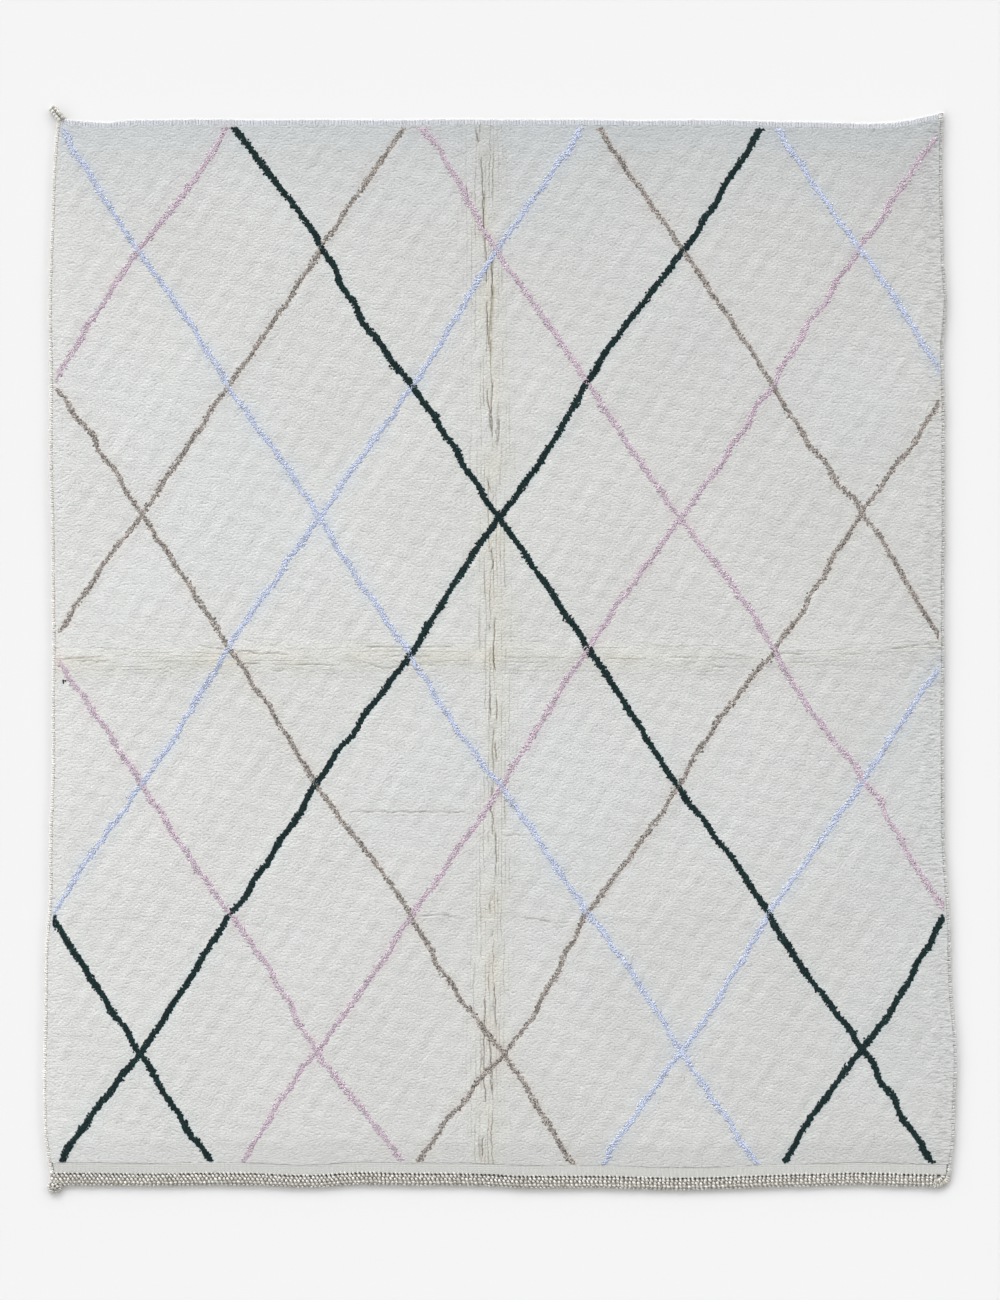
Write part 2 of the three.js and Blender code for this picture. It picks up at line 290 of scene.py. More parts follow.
# The middle line of each old fold: where it runs, front to back and left to right.
LENGTHWISE_FOLD = [(-1.50, -0.037), (-0.97, -0.035), (-0.70, -0.021), (0.03, -0.016),
                   (0.25, -0.024), (0.69, -0.026), (1.11, -0.044), (1.50, -0.044)]
CROSSWISE_FOLD = [(-1.27, -0.034), (-0.69, -0.023), (0.0, -0.015), (0.42, -0.020),
                  (0.84, -0.015), (1.27, 0.005)]


def field_outline():
    """The four edges of the CAD field where it meets the floor, as lines of points."""
    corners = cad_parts["pile_field"].data.vertices
    spots = np.unique(np.round([v.co[:2] for v in corners if v.co.z < ON_FLOOR], 5), axis=0)
    reach = np.abs(spots).max(axis=0)
    spots = spots[(np.abs(spots) / reach).max(axis=1) > OUTLINE_INSIDE]
    spots = spots[np.argsort(np.arctan2(spots[:, 1] / reach[1], spots[:, 0] / reach[0]))]
    spots = np.roll(spots, -int(np.argmin(spots.sum(axis=1))), axis=0)
    front_right = int(np.argmax(spots[:, 0] - spots[:, 1]))
    back_right = int(np.argmax(spots.sum(axis=1)))
    back_left = int(np.argmin(spots[:, 0] - spots[:, 1]))
    left = np.vstack([spots[back_left:], spots[:1]])[::-1]
    back = spots[back_right:back_left + 1][::-1]
    return spots[:front_right + 1], spots[front_right:back_right + 1], back, left


front_line, right_line, back_line, left_line = field_outline()


def front_y(x):
    return np.interp(x, front_line[:, 0], front_line[:, 1])


def back_y(x):
    return np.interp(x, back_line[:, 0], back_line[:, 1])


def left_x(y):
    return np.interp(y, left_line[:, 1], left_line[:, 0])


def right_x(y):
    return np.interp(y, right_line[:, 1], right_line[:, 0])


def along_table(table, place):
    """Reads one of the fold tables at a place."""
    known = np.array(table)
    return np.interp(place, known[:, 0], known[:, 1])


def cloth_place(across, along):
    """Where a share of the width and a share of the length lie on the uneven cloth."""
    x = left_x(0.0) + across * (right_x(0.0) - left_x(0.0))
    y = front_y(x) + along * (back_y(x) - front_y(x))
    return left_x(y) + across * (right_x(y) - left_x(y)), y


def bell(distance, half):
    return np.exp(-(distance / half) ** 2)


def lift(x, y):
    """How far the cloth stands off the floor, on its folds and in its slight unevenness."""
    across = x / UNDULATION_LENGTH
    along = y / UNDULATION_LENGTH
    lump = np.sin(across + 1.3 * np.sin(0.45 * along))
    lump = lump * np.sin(0.87 * along + 1.1 * np.sin(0.37 * across))
    folds = bell(x - along_table(LENGTHWISE_FOLD, y), FOLD_HALF)
    folds = folds + bell(y - along_table(CROSSWISE_FOLD, x), FOLD_HALF)
    return UNDULATION * lump + FOLD_LIFT * folds


def grid_quads(rows, columns):
    index = np.arange(rows * columns).reshape(rows, columns)
    corners = [index[:-1, :-1], index[:-1, 1:], index[1:, 1:], index[1:, :-1]]
    return np.stack(corners, axis=-1).reshape(-1, 4)


def rim_order(rows, columns):
    """The points round the rim of a grid, once round."""
    index = np.arange(rows * columns).reshape(rows, columns)
    return np.concatenate([index[0, :-1], index[:-1, -1], index[-1, :0:-1], index[:0:-1, 0]])


def harden(mesh, rim):
    """Makes the edges between the points of a rim hard, so that the top keeps its own shading."""
    ends = np.empty(2 * len(mesh.edges), dtype=np.int32)
    mesh.edges.foreach_get("vertices", ends)
    mesh.edges.foreach_set("use_edge_sharp", np.isin(ends.reshape(-1, 2), rim).all(axis=1))


def map_shares(x, y):
    """Where the points of a grid lie on a map of it, from 0 to 1 either way."""
    shares = [(x - x.min()) / np.ptp(x), (y - y.min()) / np.ptp(y)]
    return np.stack(shares, axis=-1).reshape(-1, 2)


def lay_out(mesh, spots):
    """Gives a mesh its own map, from where each of its points lies on it."""
    corners = np.empty(len(mesh.loops), dtype=np.int32)
    mesh.loops.foreach_get("vertex_index", corners)
    mesh.uv_layers.new(name="OFBake").data.foreach_set("uv", spots[corners].ravel())


# How wide the map of a sheet's top is, and how far aside that of its underside lies.
SHEET_MAP = [0.49, 1.0]
UNDERSIDE_MAP_ASIDE = [0.51, 0.0]


def closed_sheet(name, x, y, low, high):
    """A closed sheet from grids of places, with its underside at low and its top at high. Its own
    map lays the top and the underside side by side."""
    rows, columns = x.shape
    top = np.stack([x, y, high], axis=-1).reshape(-1, 3)
    under = np.stack([x, y, low], axis=-1).reshape(-1, 3)
    quads = grid_quads(rows, columns)
    rim = rim_order(rows, columns)
    after = np.roll(rim, -1)
    shift = rows * columns
    walls = np.stack([rim, rim + shift, after + shift, after], axis=-1)
    faces = np.concatenate([quads, quads[:, ::-1] + shift, walls])
    mesh = mesh_of(name, np.concatenate([top, under]).tolist(), faces.tolist())
    share = map_shares(x, y) * SHEET_MAP
    lay_out(mesh, np.concatenate([share, share + UNDERSIDE_MAP_ASIDE]))
    mesh.polygons.foreach_set("use_smooth", np.arange(len(faces)) < 2 * len(quads))
    harden(mesh, np.concatenate([rim, rim + shift]))
    return in_scene(name, mesh)


# The scales of the weave: its weft rows, its warps, the yarn's fibres and the blotches over all.
WEFT_SCALE = 60.0
WARP_SCALE = 26.0
YARN_SCALE = 260.0
BLOTCH_SCALE = 9.0
WEAVE_DEPTH = 0.0015


def woven_finish(name, colour, shade):
    """Plain weave in thick wool: rows of weft over the warps, a little uneven in colour."""
    finish = Finish(name, sheen=0.15)
    places = finish.places()
    blotch = finish.noise(places, BLOTCH_SCALE, 3.0)
    yarn = finish.noise(places, YARN_SCALE, 2.0)
    finish.colour(finish.blend(blotch * 0.6 + yarn * 0.4, colour, shade))
    weft = finish.wave(places, "Y", WEFT_SCALE, 1.5, 1.0, 20.0)
    warp = finish.wave(places, "X", WARP_SCALE, 1.0, 1.0, 20.0)
    finish.bump(weft * 0.3 + warp * 0.4 + yarn * 0.6, 0.8, WEAVE_DEPTH)
    return finish.material


field_width = right_x(0.0) - left_x(0.0)
field_length = back_y(0.0) - front_y(0.0)


def pile_place(across, along):
    """As cloth_place, with the length counted from where the knots begin behind the plain band."""
    band = BAND_WIDTH / field_length
    return cloth_place(across, band + (1 - band) * along)


columns = int(round(field_width / CLOTH_CELL))
rows = int(round(field_length / CLOTH_CELL))
band_across, band_along = np.meshgrid(np.linspace(0, 1, columns + 1), BAND_ROWS)
band_x, band_y = cloth_place(band_across, band_along * BAND_WIDTH / field_length)
shares = np.meshgrid(np.linspace(0, 1, columns + 1), np.linspace(0, 1, rows + 1))
field_x, field_y = pile_place(*shares)
cloth_x = np.vstack([band_x, field_x])
cloth_y = np.vstack([band_y, field_y])
cloth_low = np.maximum(lift(cloth_x, cloth_y), 0.0)
cloth_high = cloth_low + CLOTH_THICK
cloth_high[:len(BAND_ROWS) + 1] += (BAND_TOP - CLOTH_THICK) * np.array(BAND_CROWN)[:, None]
cloth_y[0] -= BAND_LAP
cloth = closed_sheet("ground_cloth", cloth_x, cloth_y, cloth_low, cloth_high)
cloth.data.materials.append(woven_finish("ground_weave", CLOTH_COLOUR, CLOTH_SHADE))
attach(cloth, "root")
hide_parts("pile_field")

# The pattern: a trellis of lozenges in thin hand-knotted lines, whose lines take four colours in
# turn. Each line wanders a little, as it does when the knots are counted by eye, and its dye has
# run into the ivory beside it.
LOZENGE_WIDE = 0.50
LOZENGE_LONG = 0.74
LINE_SWAY = 0.011
LINE_SWAY_LENGTH = 0.55
LINE_SHAKE = 0.003
LINE_SHAKE_LENGTH = 0.10

# How the dye of each line tints the wool next to it, and over what distance.
HALO_REACH = 0.026
HALO_LENGTH = 0.13
HALOS = {
    "dark_green": (0.950, 0.985, 0.990),
    "brown": (0.990, 0.965, 0.950),
    "pink": (0.995, 0.950, 0.965),
    "pale_blue": (0.945, 0.970, 1.02),
}


RIPPLE_WAVES = 7
RIPPLE_LENGTHS = (0.7, 1.6)
RIPPLE_PHASES = (0, 6.3)


def ripple(x, y, length, seed):
    """A smooth unevenness between about -1 and 1, from waves in all directions."""
    draw = np.random.default_rng(seed)
    total = np.zeros_like(x)
    for _ in range(RIPPLE_WAVES):
        turn = draw.uniform(0, math.pi)
        steps = 2 * math.pi / (length * draw.uniform(*RIPPLE_LENGTHS))
        course = x * math.cos(turn) + y * math.sin(turn)
        total += np.sin(steps * course + draw.uniform(*RIPPLE_PHASES))
    return total / math.sqrt(RIPPLE_WAVES)


slope = LOZENGE_WIDE / LOZENGE_LONG
squareness = 1 / math.hypot(1, slope)

# The two families of lines: which way each runs, its colours in turn, and its wandering's seed.
LINE_FAMILIES = [
    (1, ["dark_green", "pink", "brown", "pale_blue"], 31),
    (-1, ["pale_blue", "dark_green", "pink", "brown"], 37),
]


def line_sway(x, y, seed):
    """How far a line has strayed sideways from its straight course."""
    sway = LINE_SWAY * ripple(x, y, LINE_SWAY_LENGTH, seed)
    return sway + LINE_SHAKE * ripple(x, y, LINE_SHAKE_LENGTH, seed + 1)


def nearest_line(x, y, turn, seed):
    """The number of the nearest line of a family, and how far off it lies."""
    place = (x + line_sway(x, y, seed) - turn * slope * y) / LOZENGE_WIDE + 0.5
    number = np.round(place).astype(int)
    return number, np.abs(place - number) * LOZENGE_WIDE * squareness


def dye_halo(x, y):
    """The tint that run dye gives the ivory wool at a place."""
    tint = np.ones(x.shape + (4,))
    for turn, order, seed in LINE_FAMILIES:
        number, off = nearest_line(x, y, turn, seed)
        uneven = np.clip(0.7 + 0.5 * ripple(x, y, HALO_LENGTH, seed + 5), 0, 1.3)
        soaked = bell(off, HALO_REACH) * uneven
        for i, yarn in enumerate(order):
            share = np.where(number % len(order) == i, soaked, 0.0)
            tint[..., :3] *= 1 - share[..., None] * (1 - np.array(HALOS[yarn]))
    return tint


# The ivory pile: the knotted wool stands so close that its heads form one felted surface, in rows
# across the rug, each row a little proud of the next and every head of its own height. Along the
# two old folds it has cracked open in thin lines, and the wool there is creased and yellower, with
# painted shade in its cracks and creases.
PILE_TOP = 0.0165
PILE_RIM_TOP = 0.0132
PILE_BACK_TOP = 0.0150
SIDE_SLOPE = 0.045
END_SLOPE = 0.060
PILE_UNDERSIDE = 0.0050
PILE_OVERHANG = 0.0038
TUCK = 0.0001
KNOT_CELL = 0.0062
ROW_CELL = 0.0054
FINE_CELL = 0.0027
ROW_PROFILE = (0.0, 1.0, 0.5)
ROW_RISE = 0.00012
ROW_RISE_LENGTH = 0.06
KNOT_RISE = 0.00016
KNOT_STRAY = 0.0010
KNOT_SEED = 7
SWELL = 0.0005
SWELL_LENGTH = 0.045
LENGTHWISE_DEPTH = 0.0028
CROSSWISE_DEPTH = 0.0015
CRACK_TAPER = 0.015
CRACK_END = 0.25
CRACK_PULL = 0.9
CRACK_SWAY = 0.0012
CRACK_SWAY_LENGTH = 0.009
CRACK_VARIETY = 900
PILE_STRIPS = 4
IVORY = (0.617, 0.621, 0.607, 1.0)
AGED = (0.99, 0.957, 0.875, 1.0)

# The cracks where the pile is parted, each as the points that it wanders through.
LENGTHWISE_CRACKS = [
    [(-0.069, 1.448), (-0.058, 1.395)],
    [(-0.052, 1.370), (-0.048, 1.284), (-0.046, 1.187), (-0.039, 1.106), (-0.038, 1.009)],
    [(-0.037, 0.975), (-0.035, 0.911), (-0.031, 0.839)],
    [(-0.096, 1.292), (-0.088, 1.250)],
    [(-0.024, 1.114), (-0.021, 0.975)],
    [(-0.019, 0.747), (-0.024, 0.681), (-0.021, 0.583)],
    [(-0.038, 0.728), (-0.028, 0.656), (-0.026, 0.601)],
    [(-0.002, 0.647), (-0.005, 0.569)],
    [(-0.036, 0.480), (-0.025, 0.434)],
    [(-0.023, 0.290), (-0.021, 0.237), (-0.023, 0.211)],
    [(-0.013, 0.094), (-0.016, 0.041), (-0.019, -0.012), (-0.012, -0.064)],
    [(-0.031, 0.075), (-0.027, 0.047)],
    [(-0.027, -0.110), (-0.026, -0.195)],
    [(-0.010, -0.123), (-0.008, -0.202)],
    [(-0.013, -0.248), (-0.010, -0.315)],
    [(-0.021, -0.373), (-0.025, -0.445), (-0.019, -0.470), (-0.021, -0.518)],
    [(-0.012, -0.501), (-0.012, -0.540), (-0.010, -0.587), (-0.012, -0.632)],
    [(-0.021, -0.679), (-0.019, -0.698)],
    [(-0.019, -0.776), (-0.023, -0.803)],
    [(-0.016, -0.921), (-0.013, -0.987), (-0.012, -1.051)],
    [(-0.041, -0.960), (-0.044, -1.090), (-0.044, -1.190), (-0.038, -1.263)],
    [(-0.030, -1.060), (-0.025, -1.131), (-0.023, -1.235)],
    [(-0.047, -1.346), (-0.050, -1.418)],
]
CROSSWISE_CRACKS = [
    [(-0.847, 0.014), (-0.762, 0.0)],
    [(-0.725, 0.0), (-0.672, -0.010), (-0.617, -0.009), (-0.580, -0.016)],
    [(-0.732, -0.040), (-0.664, -0.037)],
    [(-0.641, -0.059), (-0.591, -0.056)],
    [(-0.572, -0.042), (-0.519, -0.039), (-0.450, -0.045)],
    [(-0.381, 0.011), (-0.305, 0.007), (-0.122, 0.009)],
    [(-0.374, -0.031), (-0.324, -0.053), (-0.259, -0.042), (-0.175, -0.042)],
    [(-1.175, -0.031), (-1.075, -0.031)],
    [(0.247, 0.014), (0.293, 0.022)],
    [(0.476, -0.020), (0.537, -0.022)],
    [(0.621, -0.010), (0.689, -0.020)],
    [(0.735, -0.016), (0.788, -0.009), (0.849, -0.012)],
    [(0.932, -0.012), (1.002, -0.012)],
    [(1.070, 0.0), (1.199, 0.019)],
    [(0.582, -0.042), (0.635, -0.051)],
    [(-0.416, -0.449), (-0.272, -0.450), (-0.085, -0.451)],
    [(0.005, -0.515), (0.086, -0.513)],
    [(-0.222, -0.740), (-0.156, -0.734), (-0.091, -0.751)],
    [(0.061, -0.743), (0.145, -0.754)],
]


def spaced(low, high, cell, fine_zones):
    """Places from low to high, a cell apart, or a fine cell apart inside the zones."""
    ends = [low] + [edge for zone in fine_zones for edge in zone] + [high]
    places = []
    for i, (a, b) in enumerate(zip(ends[:-1], ends[1:])):
        size = FINE_CELL if i % 2 else cell
        places.append(np.linspace(a, b, max(1, int(round((b - a) / size))), endpoint=False))
    return np.append(np.concatenate(places), high)


# The share of a strip's map that its walls take up round its top.
MAP_RIM = 0.01


def closed_cushion(name, x, y, high, under):
    """A closed cushion: a grid of places for its top, walls round its rim, one flat underside."""
    rows, columns = x.shape
    top = np.stack([x, y, high], axis=-1).reshape(-1, 3)
    rim = rim_order(rows, columns)
    foot = top[rim] * [1, 1, 0] + [0, 0, under]
    below = np.arange(len(rim)) + len(top)
    walls = np.stack([rim, below, np.roll(below, -1), np.roll(rim, -1)], axis=-1)
    quads = grid_quads(rows, columns)
    faces = np.concatenate([quads, walls]).tolist() + [below[::-1].tolist()]
    mesh = mesh_of(name, np.concatenate([top, foot]).tolist(), faces)
    share = map_shares(x, y)
    lay_out(mesh, np.concatenate([share * (1 - 2 * MAP_RIM) + MAP_RIM, share[rim]]))
    mesh.polygons.foreach_set("use_smooth", np.arange(len(faces)) < len(quads))
    harden(mesh, rim)
    return in_scene(name, mesh)


def crack_line(crack, along):
    """Where a crack lies, across it, at a place along it, and where it begins and ends."""
    known = np.array(sorted((p[along], p[1 - along]) for p in crack))
    sway = CRACK_SWAY * math.sin(len(crack) + known[0, 1] * CRACK_VARIETY)

    def across_at(place):
        return np.interp(place, known[:, 0], known[:, 1]) + sway * np.sin(place / CRACK_SWAY_LENGTH)

    return across_at, known[0, 0], known[-1, 0]


def open_crack(crack, along, x, y, high, opened, depth):
    """Sinks the grid line nearest to a crack into it, deepest at its middle."""
    across_at, begin, end = crack_line(crack, along)
    across_places, along_places = (x, y) if along else (y.T, x.T)
    tops, marks = (high, opened) if along else (high.T, opened.T)
    for i in range(along_places.shape[0]):
        place = along_places[i, along_places.shape[1] // 2]
        if not begin <= place <= end:
            continue
        target = float(across_at(place))
        nearest = int(np.argmin(np.abs(across_places[i] - target)))
        opening = min(1.0, (place - begin) / CRACK_TAPER, (end - place) / CRACK_TAPER)
        opening = max(opening, CRACK_END)
        across_places[i, nearest] += (target - across_places[i, nearest]) * CRACK_PULL
        tops[i, nearest] -= depth * opening
        marks[i, nearest] = depth / LENGTHWISE_DEPTH * opening


# The traces of age, each as how strong it is and how far it reaches: the wool yellowed along the
# two folds, the creases beside them, which carry painted shade, the pile worn open at the rim, with
# painted shade in its open rows, and how much darker and cooler the back end is.
YELLOWED_LONG = (0.65, 0.040)
YELLOWED_CROSS = (0.70, 0.032)
YELLOWED_ASIDE = 0.006
YELLOWED_LENGTH = 0.16
LONG_CREASE = (1.0, 0.054)
CROSS_CREASE = (1.0, 0.042)
FAINT_CREASE = (0.16, 0.13)
RIGHT_WEAR = (1.0, 0.075)
LEFT_WEAR = (0.55, 0.060)
BACK_WEAR = (0.45, 0.030)
NEAR_FADE = (0.5, 0.06)
FAR_FADE = (0.5, 0.22)

# Two small creases in front of the crosswise fold: where each runs, and its strength and reach.
SHORT_CREASE_AT = -0.45
SHORT_CREASE = (0.4, 0.012)
SHORT_CREASE_MIDDLE = -0.25
SHORT_CREASE_HALF = 0.25
FRONT_CREASE_AT = -0.745
FRONT_CREASE = (0.30, 0.024)


def trace(distance, strength, reach):
    return strength * bell(distance, reach)


def yellowed(x, y):
    """How yellow the wool has turned, from 0 to 1, near the folds."""
    aside = x - along_table(LENGTHWISE_FOLD, y) - YELLOWED_ASIDE
    cross = trace(y - along_table(CROSSWISE_FOLD, x), *YELLOWED_CROSS)
    amount = trace(aside, *YELLOWED_LONG) + cross * np.clip(0.7 - 0.5 * x, 0.2, 1)
    return amount * (0.8 + 0.4 * ripple(x, y, YELLOWED_LENGTH, 23))


def swell(x, y):
    """The soft unevenness of the pile's surface."""
    return SWELL * ripple(x, y, SWELL_LENGTH, 9)


def pile_top(x, y):
    """How high the pile stands: it slopes down a little to every edge."""
    side = np.clip(np.minimum(x - left_x(y), right_x(y) - x) / SIDE_SLOPE, 0, 1)
    front = np.clip((y - front_y(x) - BAND_WIDTH) / END_SLOPE, 0, 1)
    back = np.clip((back_y(x) - y) / END_SLOPE, 0, 1)
    top = np.minimum(PILE_RIM_TOP + (PILE_TOP - PILE_RIM_TOP) * np.minimum(side, front),
                     PILE_BACK_TOP + (PILE_TOP - PILE_BACK_TOP) * back)
    return lift(x, y) + swell(x, y) * np.minimum(np.minimum(side, front), back) + top


def long_fold(x, y):
    """How strongly the pile is creased front to back at a place, from 0 to 1."""
    return trace(x - along_table(LENGTHWISE_FOLD, y), *LONG_CREASE)


def cross_fold(x, y):
    """How strongly the pile is creased left to right at a place, from 0 to 1."""
    aside = y - along_table(CROSSWISE_FOLD, x)
    main = trace(aside, *CROSS_CREASE) * (0.50 - 0.12 * np.clip(x, -1, 1))
    short = trace(y - SHORT_CREASE_AT, *SHORT_CREASE)
    short = short * bell(x - SHORT_CREASE_MIDDLE, SHORT_CREASE_HALF)
    return main + trace(aside, *FAINT_CREASE) + short + trace(y - FRONT_CREASE_AT, *FRONT_CREASE)


def rim_wear(x, y):
    """How open the pile lies near its rim, so that its rows show there, most on the right."""
    right = trace(right_x(y) - x, *RIGHT_WEAR)
    left = trace(x - left_x(y), *LEFT_WEAR)
    back = trace(back_y(x) - y, *BACK_WEAR)
    return np.maximum(np.maximum(right, left), back)


def back_fade(x, y):
    """How much duller and cooler the pile is towards the back end, from 0 to 1."""
    inside = back_y(x) - y
    return trace(inside, *NEAR_FADE) + trace(inside, *FAR_FADE)


# The grain of the pile: short fine streaks that run across the rug, the rows that open towards its
# rim, with painted shade in their gaps, and the creases of the folds, which lie side by side and
# come and go, painted darker as painted shade and yellowed.
GRAIN = 0.30
GRAIN_SCALE = 260.0
GRAIN_DRAWN = (0.62, 1.0, 1.0)
CREASE_SCALE = 26.0
CREASE_PAINTED_SHADE = (0.59, 0.55, 0.48, 1.0)
HAIR_WOBBLE = 0.006
HAIR_WOBBLE_SCALE = 70.0
HAIR_DISTORTION = 9.0
HAIR_CUT = 0.80
HAIR_SHOWN_SCALE = 62.0
HAIR_SHOWN_CUT = 0.43
HAIR_STEEPNESS = 6.0
# The cracks' colour: brownish like the yellowed wool deep in them, and darker as painted shade.
CRACK_PAINTED_SHADE = (0.58, 0.53, 0.46, 1.0)
HEADS_SCALE = 165.0
HEADS_DRAWN = (0.85, 1.0, 1.0)
HEADS_DISORDER = 0.9
HEADS_DEPTH = 0.0015
ROWS_SCALE = 130.0
ROWS_DRAWN = (0.30, 1.0, 1.0)
ROWS_PAINTED_SHADE = 0.20
ROWS_CUT = 0.46
BACK_SHADE = 0.105
BACK_TINT = (0.968, 0.996, 1.032, 1.0)
BLUISH_TINT = (0.985, 0.995, 1.008, 1.0)
BLUISH_SCALE = 1.1
BLUISH_CUT = 0.42
PATCH_SCALE = 2.0
PATCH_SHADE = 0.10
PATCH_STEEPNESS = 4.0
# Painted shade over the whole pile: darker towards the right and towards both ends, standing in for
# light that falls off across the rug.
FADE_MIDDLE = 1.015
FADE_ACROSS = 0.052
FADE_ALONG = 0.006
FADE_ENDS = 0.025
FIBRE_SCALE = 700.0
TUFT_DEPTH = 0.0008


def hair_lines(finish, places, way, drawn, scale):
    """Thin wandering lines side by side, 1 on each line and 0 between them, that come and go."""
    wobble = HAIR_WOBBLE * (finish.noise(places, HAIR_WOBBLE_SCALE, 1.0) - 0.5)
    moved = finish.node("ShaderNodeVectorMath", {"operation": "ADD"}, {0: places, 1: wobble})
    lines = finish.wave(finish.drawn_out(moved, drawn), way, scale, HAIR_DISTORTION, 2.0, 1.2)
    shown = finish.noise(finish.drawn_out(places, drawn), HAIR_SHOWN_SCALE, 2.0)
    lines = finish.above(lines, HAIR_CUT, HAIR_STEEPNESS)
    return lines * finish.above(shown, HAIR_SHOWN_CUT, HAIR_STEEPNESS)


def wool_finish(name, colour, sheen, spread, weathered):
    """Wool pile: each tuft its own tone, darker towards its root in painted shade, with broad faint
    patches where the wool was washed and worn differently, painted shade that darkens it towards
    the right and both ends, and yellower and creased along the folds, with painted shade in the
    creases, cracks and open rows."""
    finish = Finish(name, roughness=0.95, sheen=sheen)
    places = finish.places()
    grain = finish.noise(finish.drawn_out(places, GRAIN_DRAWN), GRAIN_SCALE, 2.0)
    # The depth darkens the lower knots and the roots of the tufts a little: painted shade.
    shade = 0.95 + 0.03 * finish.attribute("depth") + spread * (finish.attribute("tone") - 0.5)
    shade = shade + GRAIN * (grain - 0.5)
    wool = colour
    height = finish.noise(places, FIBRE_SCALE, 2.0)
    if weathered:
        parts = finish.node("ShaderNodeSeparateXYZ", {}, {"Vector": places})
        x = parts.output("X")
        y = parts.output("Y")
        # Painted shade: darker towards the right and both ends, as light falling off across the
        # rug.
        fade = FADE_MIDDLE - FADE_ACROSS * x - FADE_ALONG * y - FADE_ENDS * y * y
        patch = finish.noise(places, PATCH_SCALE, 2.0)
        shade = shade * fade + PATCH_SHADE * (patch - 0.5)
        rows = finish.noise(finish.drawn_out(places, ROWS_DRAWN), ROWS_SCALE, 1.0)
        wear = finish.attribute("rim wear")
        open_rows = wear * finish.above(rows, ROWS_CUT, PATCH_STEEPNESS)
        # The open rows are painted darker: painted shade in their gaps, over their real relief in
        # the bump. The worn rim is a touch lighter overall.
        shade = shade - ROWS_PAINTED_SHADE * open_rows + 0.25 * ROWS_PAINTED_SHADE * wear
        cool = finish.noise(places, BLUISH_SCALE, 1.0)
        wool = finish.tinted(wool, BLUISH_TINT, (cool - BLUISH_CUT) * PATCH_STEEPNESS)
        shade = shade - BACK_SHADE * finish.attribute("back fade")
        wool = finish.tinted(wool, BACK_TINT, finish.attribute("back fade"))
        wool = finish.tinted(wool, AGED, finish.attribute("yellowing"))
        wool = finish.blend(1.0, wool, finish.attribute_colour("stain"), "MULTIPLY")
        long = hair_lines(finish, places, "X", (1.0, 0.10, 1.0), CREASE_SCALE)
        cross = hair_lines(finish, places, "Y", (0.12, 1.0, 1.0), CREASE_SCALE)
        crease = long * finish.attribute("long fold") + cross * finish.attribute("cross fold")
        crease = finish.clamped(crease)
        # The creases and cracks are painted brownish and darker: partly yellowed wool, partly
        # painted shade in them.
        wool = finish.tinted(wool, CREASE_PAINTED_SHADE, crease)
        wool = finish.tinted(wool, CRACK_PAINTED_SHADE, finish.attribute("crack"))
        heads = finish.node("ShaderNodeTexVoronoi", {"voronoi_dimensions": "2D"}, {
            "Vector": finish.drawn_out(places, HEADS_DRAWN),
            "Scale": HEADS_SCALE, "Randomness": HEADS_DISORDER})
        height = 0.25 * height + 0.5 * grain - heads * heads - 0.4 * crease - 0.5 * open_rows
        finish.bump(height, 0.8, HEADS_DEPTH)
    else:
        finish.bump(height, 0.5, TUFT_DEPTH)
    finish.colour(finish.blend(1.0, wool, finish.grey(shade), "MULTIPLY"))
    return finish.material


def set_values(mesh, name, values, kind="FLOAT"):
    """Stores one number, vector or colour for each point of a mesh."""
    field = {"FLOAT": "value", "FLOAT_VECTOR": "vector", "FLOAT_COLOR": "color"}[kind]
    mesh.attributes.new(name, kind, "POINT").data.foreach_set(field, np.ravel(values))


# Where the cracks lie, so that the grid of the pile is finer there: across the rug and along it.
FINE_ACROSS = [(-0.108, 0.012)]
FINE_ALONG = [(-0.764, -0.726), (-0.522, -0.506), (-0.460, -0.442), (-0.064, 0.030)]

draw = np.random.default_rng(KNOT_SEED)
pile_across = spaced(left_x(0.0), right_x(0.0), KNOT_CELL, FINE_ACROSS)
pile_across = (pile_across - left_x(0.0)) / field_width
pile_along = spaced(front_y(0.0) + BAND_WIDTH, back_y(0.0), ROW_CELL, FINE_ALONG)
pile_along = (pile_along - pile_along[0]) / (pile_along[-1] - pile_along[0])
pile_x, pile_y = pile_place(*np.meshgrid(pile_across, pile_along))
pile_x[:, 0] -= PILE_OVERHANG
pile_x[:, -1] += PILE_OVERHANG
pile_y[-1] += PILE_OVERHANG
pile_x += draw.uniform(-KNOT_STRAY, KNOT_STRAY, pile_x.shape)
pile_y += draw.uniform(-KNOT_STRAY, KNOT_STRAY, pile_x.shape)
row_rise = ROW_RISE * np.array(ROW_PROFILE)[np.arange(len(pile_x)) % len(ROW_PROFILE)][:, None]
row_rise = row_rise * np.clip(1 + 0.8 * ripple(pile_x, pile_y, ROW_RISE_LENGTH, 13), 0, 2)
knot_rise = draw.normal(0, KNOT_RISE, pile_x.shape) + row_rise
pile_high = pile_top(pile_x, pile_y) + knot_rise
pile_opened = np.zeros_like(pile_x)
for crack in LENGTHWISE_CRACKS:
    open_crack(crack, 1, pile_x, pile_y, pile_high, pile_opened, LENGTHWISE_DEPTH)
for crack in CROSSWISE_CRACKS:
    open_crack(crack, 0, pile_x, pile_y, pile_high, pile_opened, CROSSWISE_DEPTH)
pile_values = {
    "tone": draw.uniform(0, 1, pile_x.shape),
    # depth: how low each knot lies, which sets the painted shade on the lower knots
    "depth": np.clip(0.5 + knot_rise / (4 * KNOT_RISE), 0, 1),
    "yellowing": yellowed(pile_x, pile_y),
    "crack": pile_opened,
    "long fold": long_fold(pile_x, pile_y),
    "cross fold": cross_fold(pile_x, pile_y),
    "rim wear": rim_wear(pile_x, pile_y),
    "back fade": back_fade(pile_x, pile_y),
    "stain": dye_halo(pile_x, pile_y),
}
ivory_wool = wool_finish("ivory_wool", IVORY, 0.1, 0.06, True)
ends = np.linspace(0, pile_x.shape[1] - 1, PILE_STRIPS + 1).astype(int)
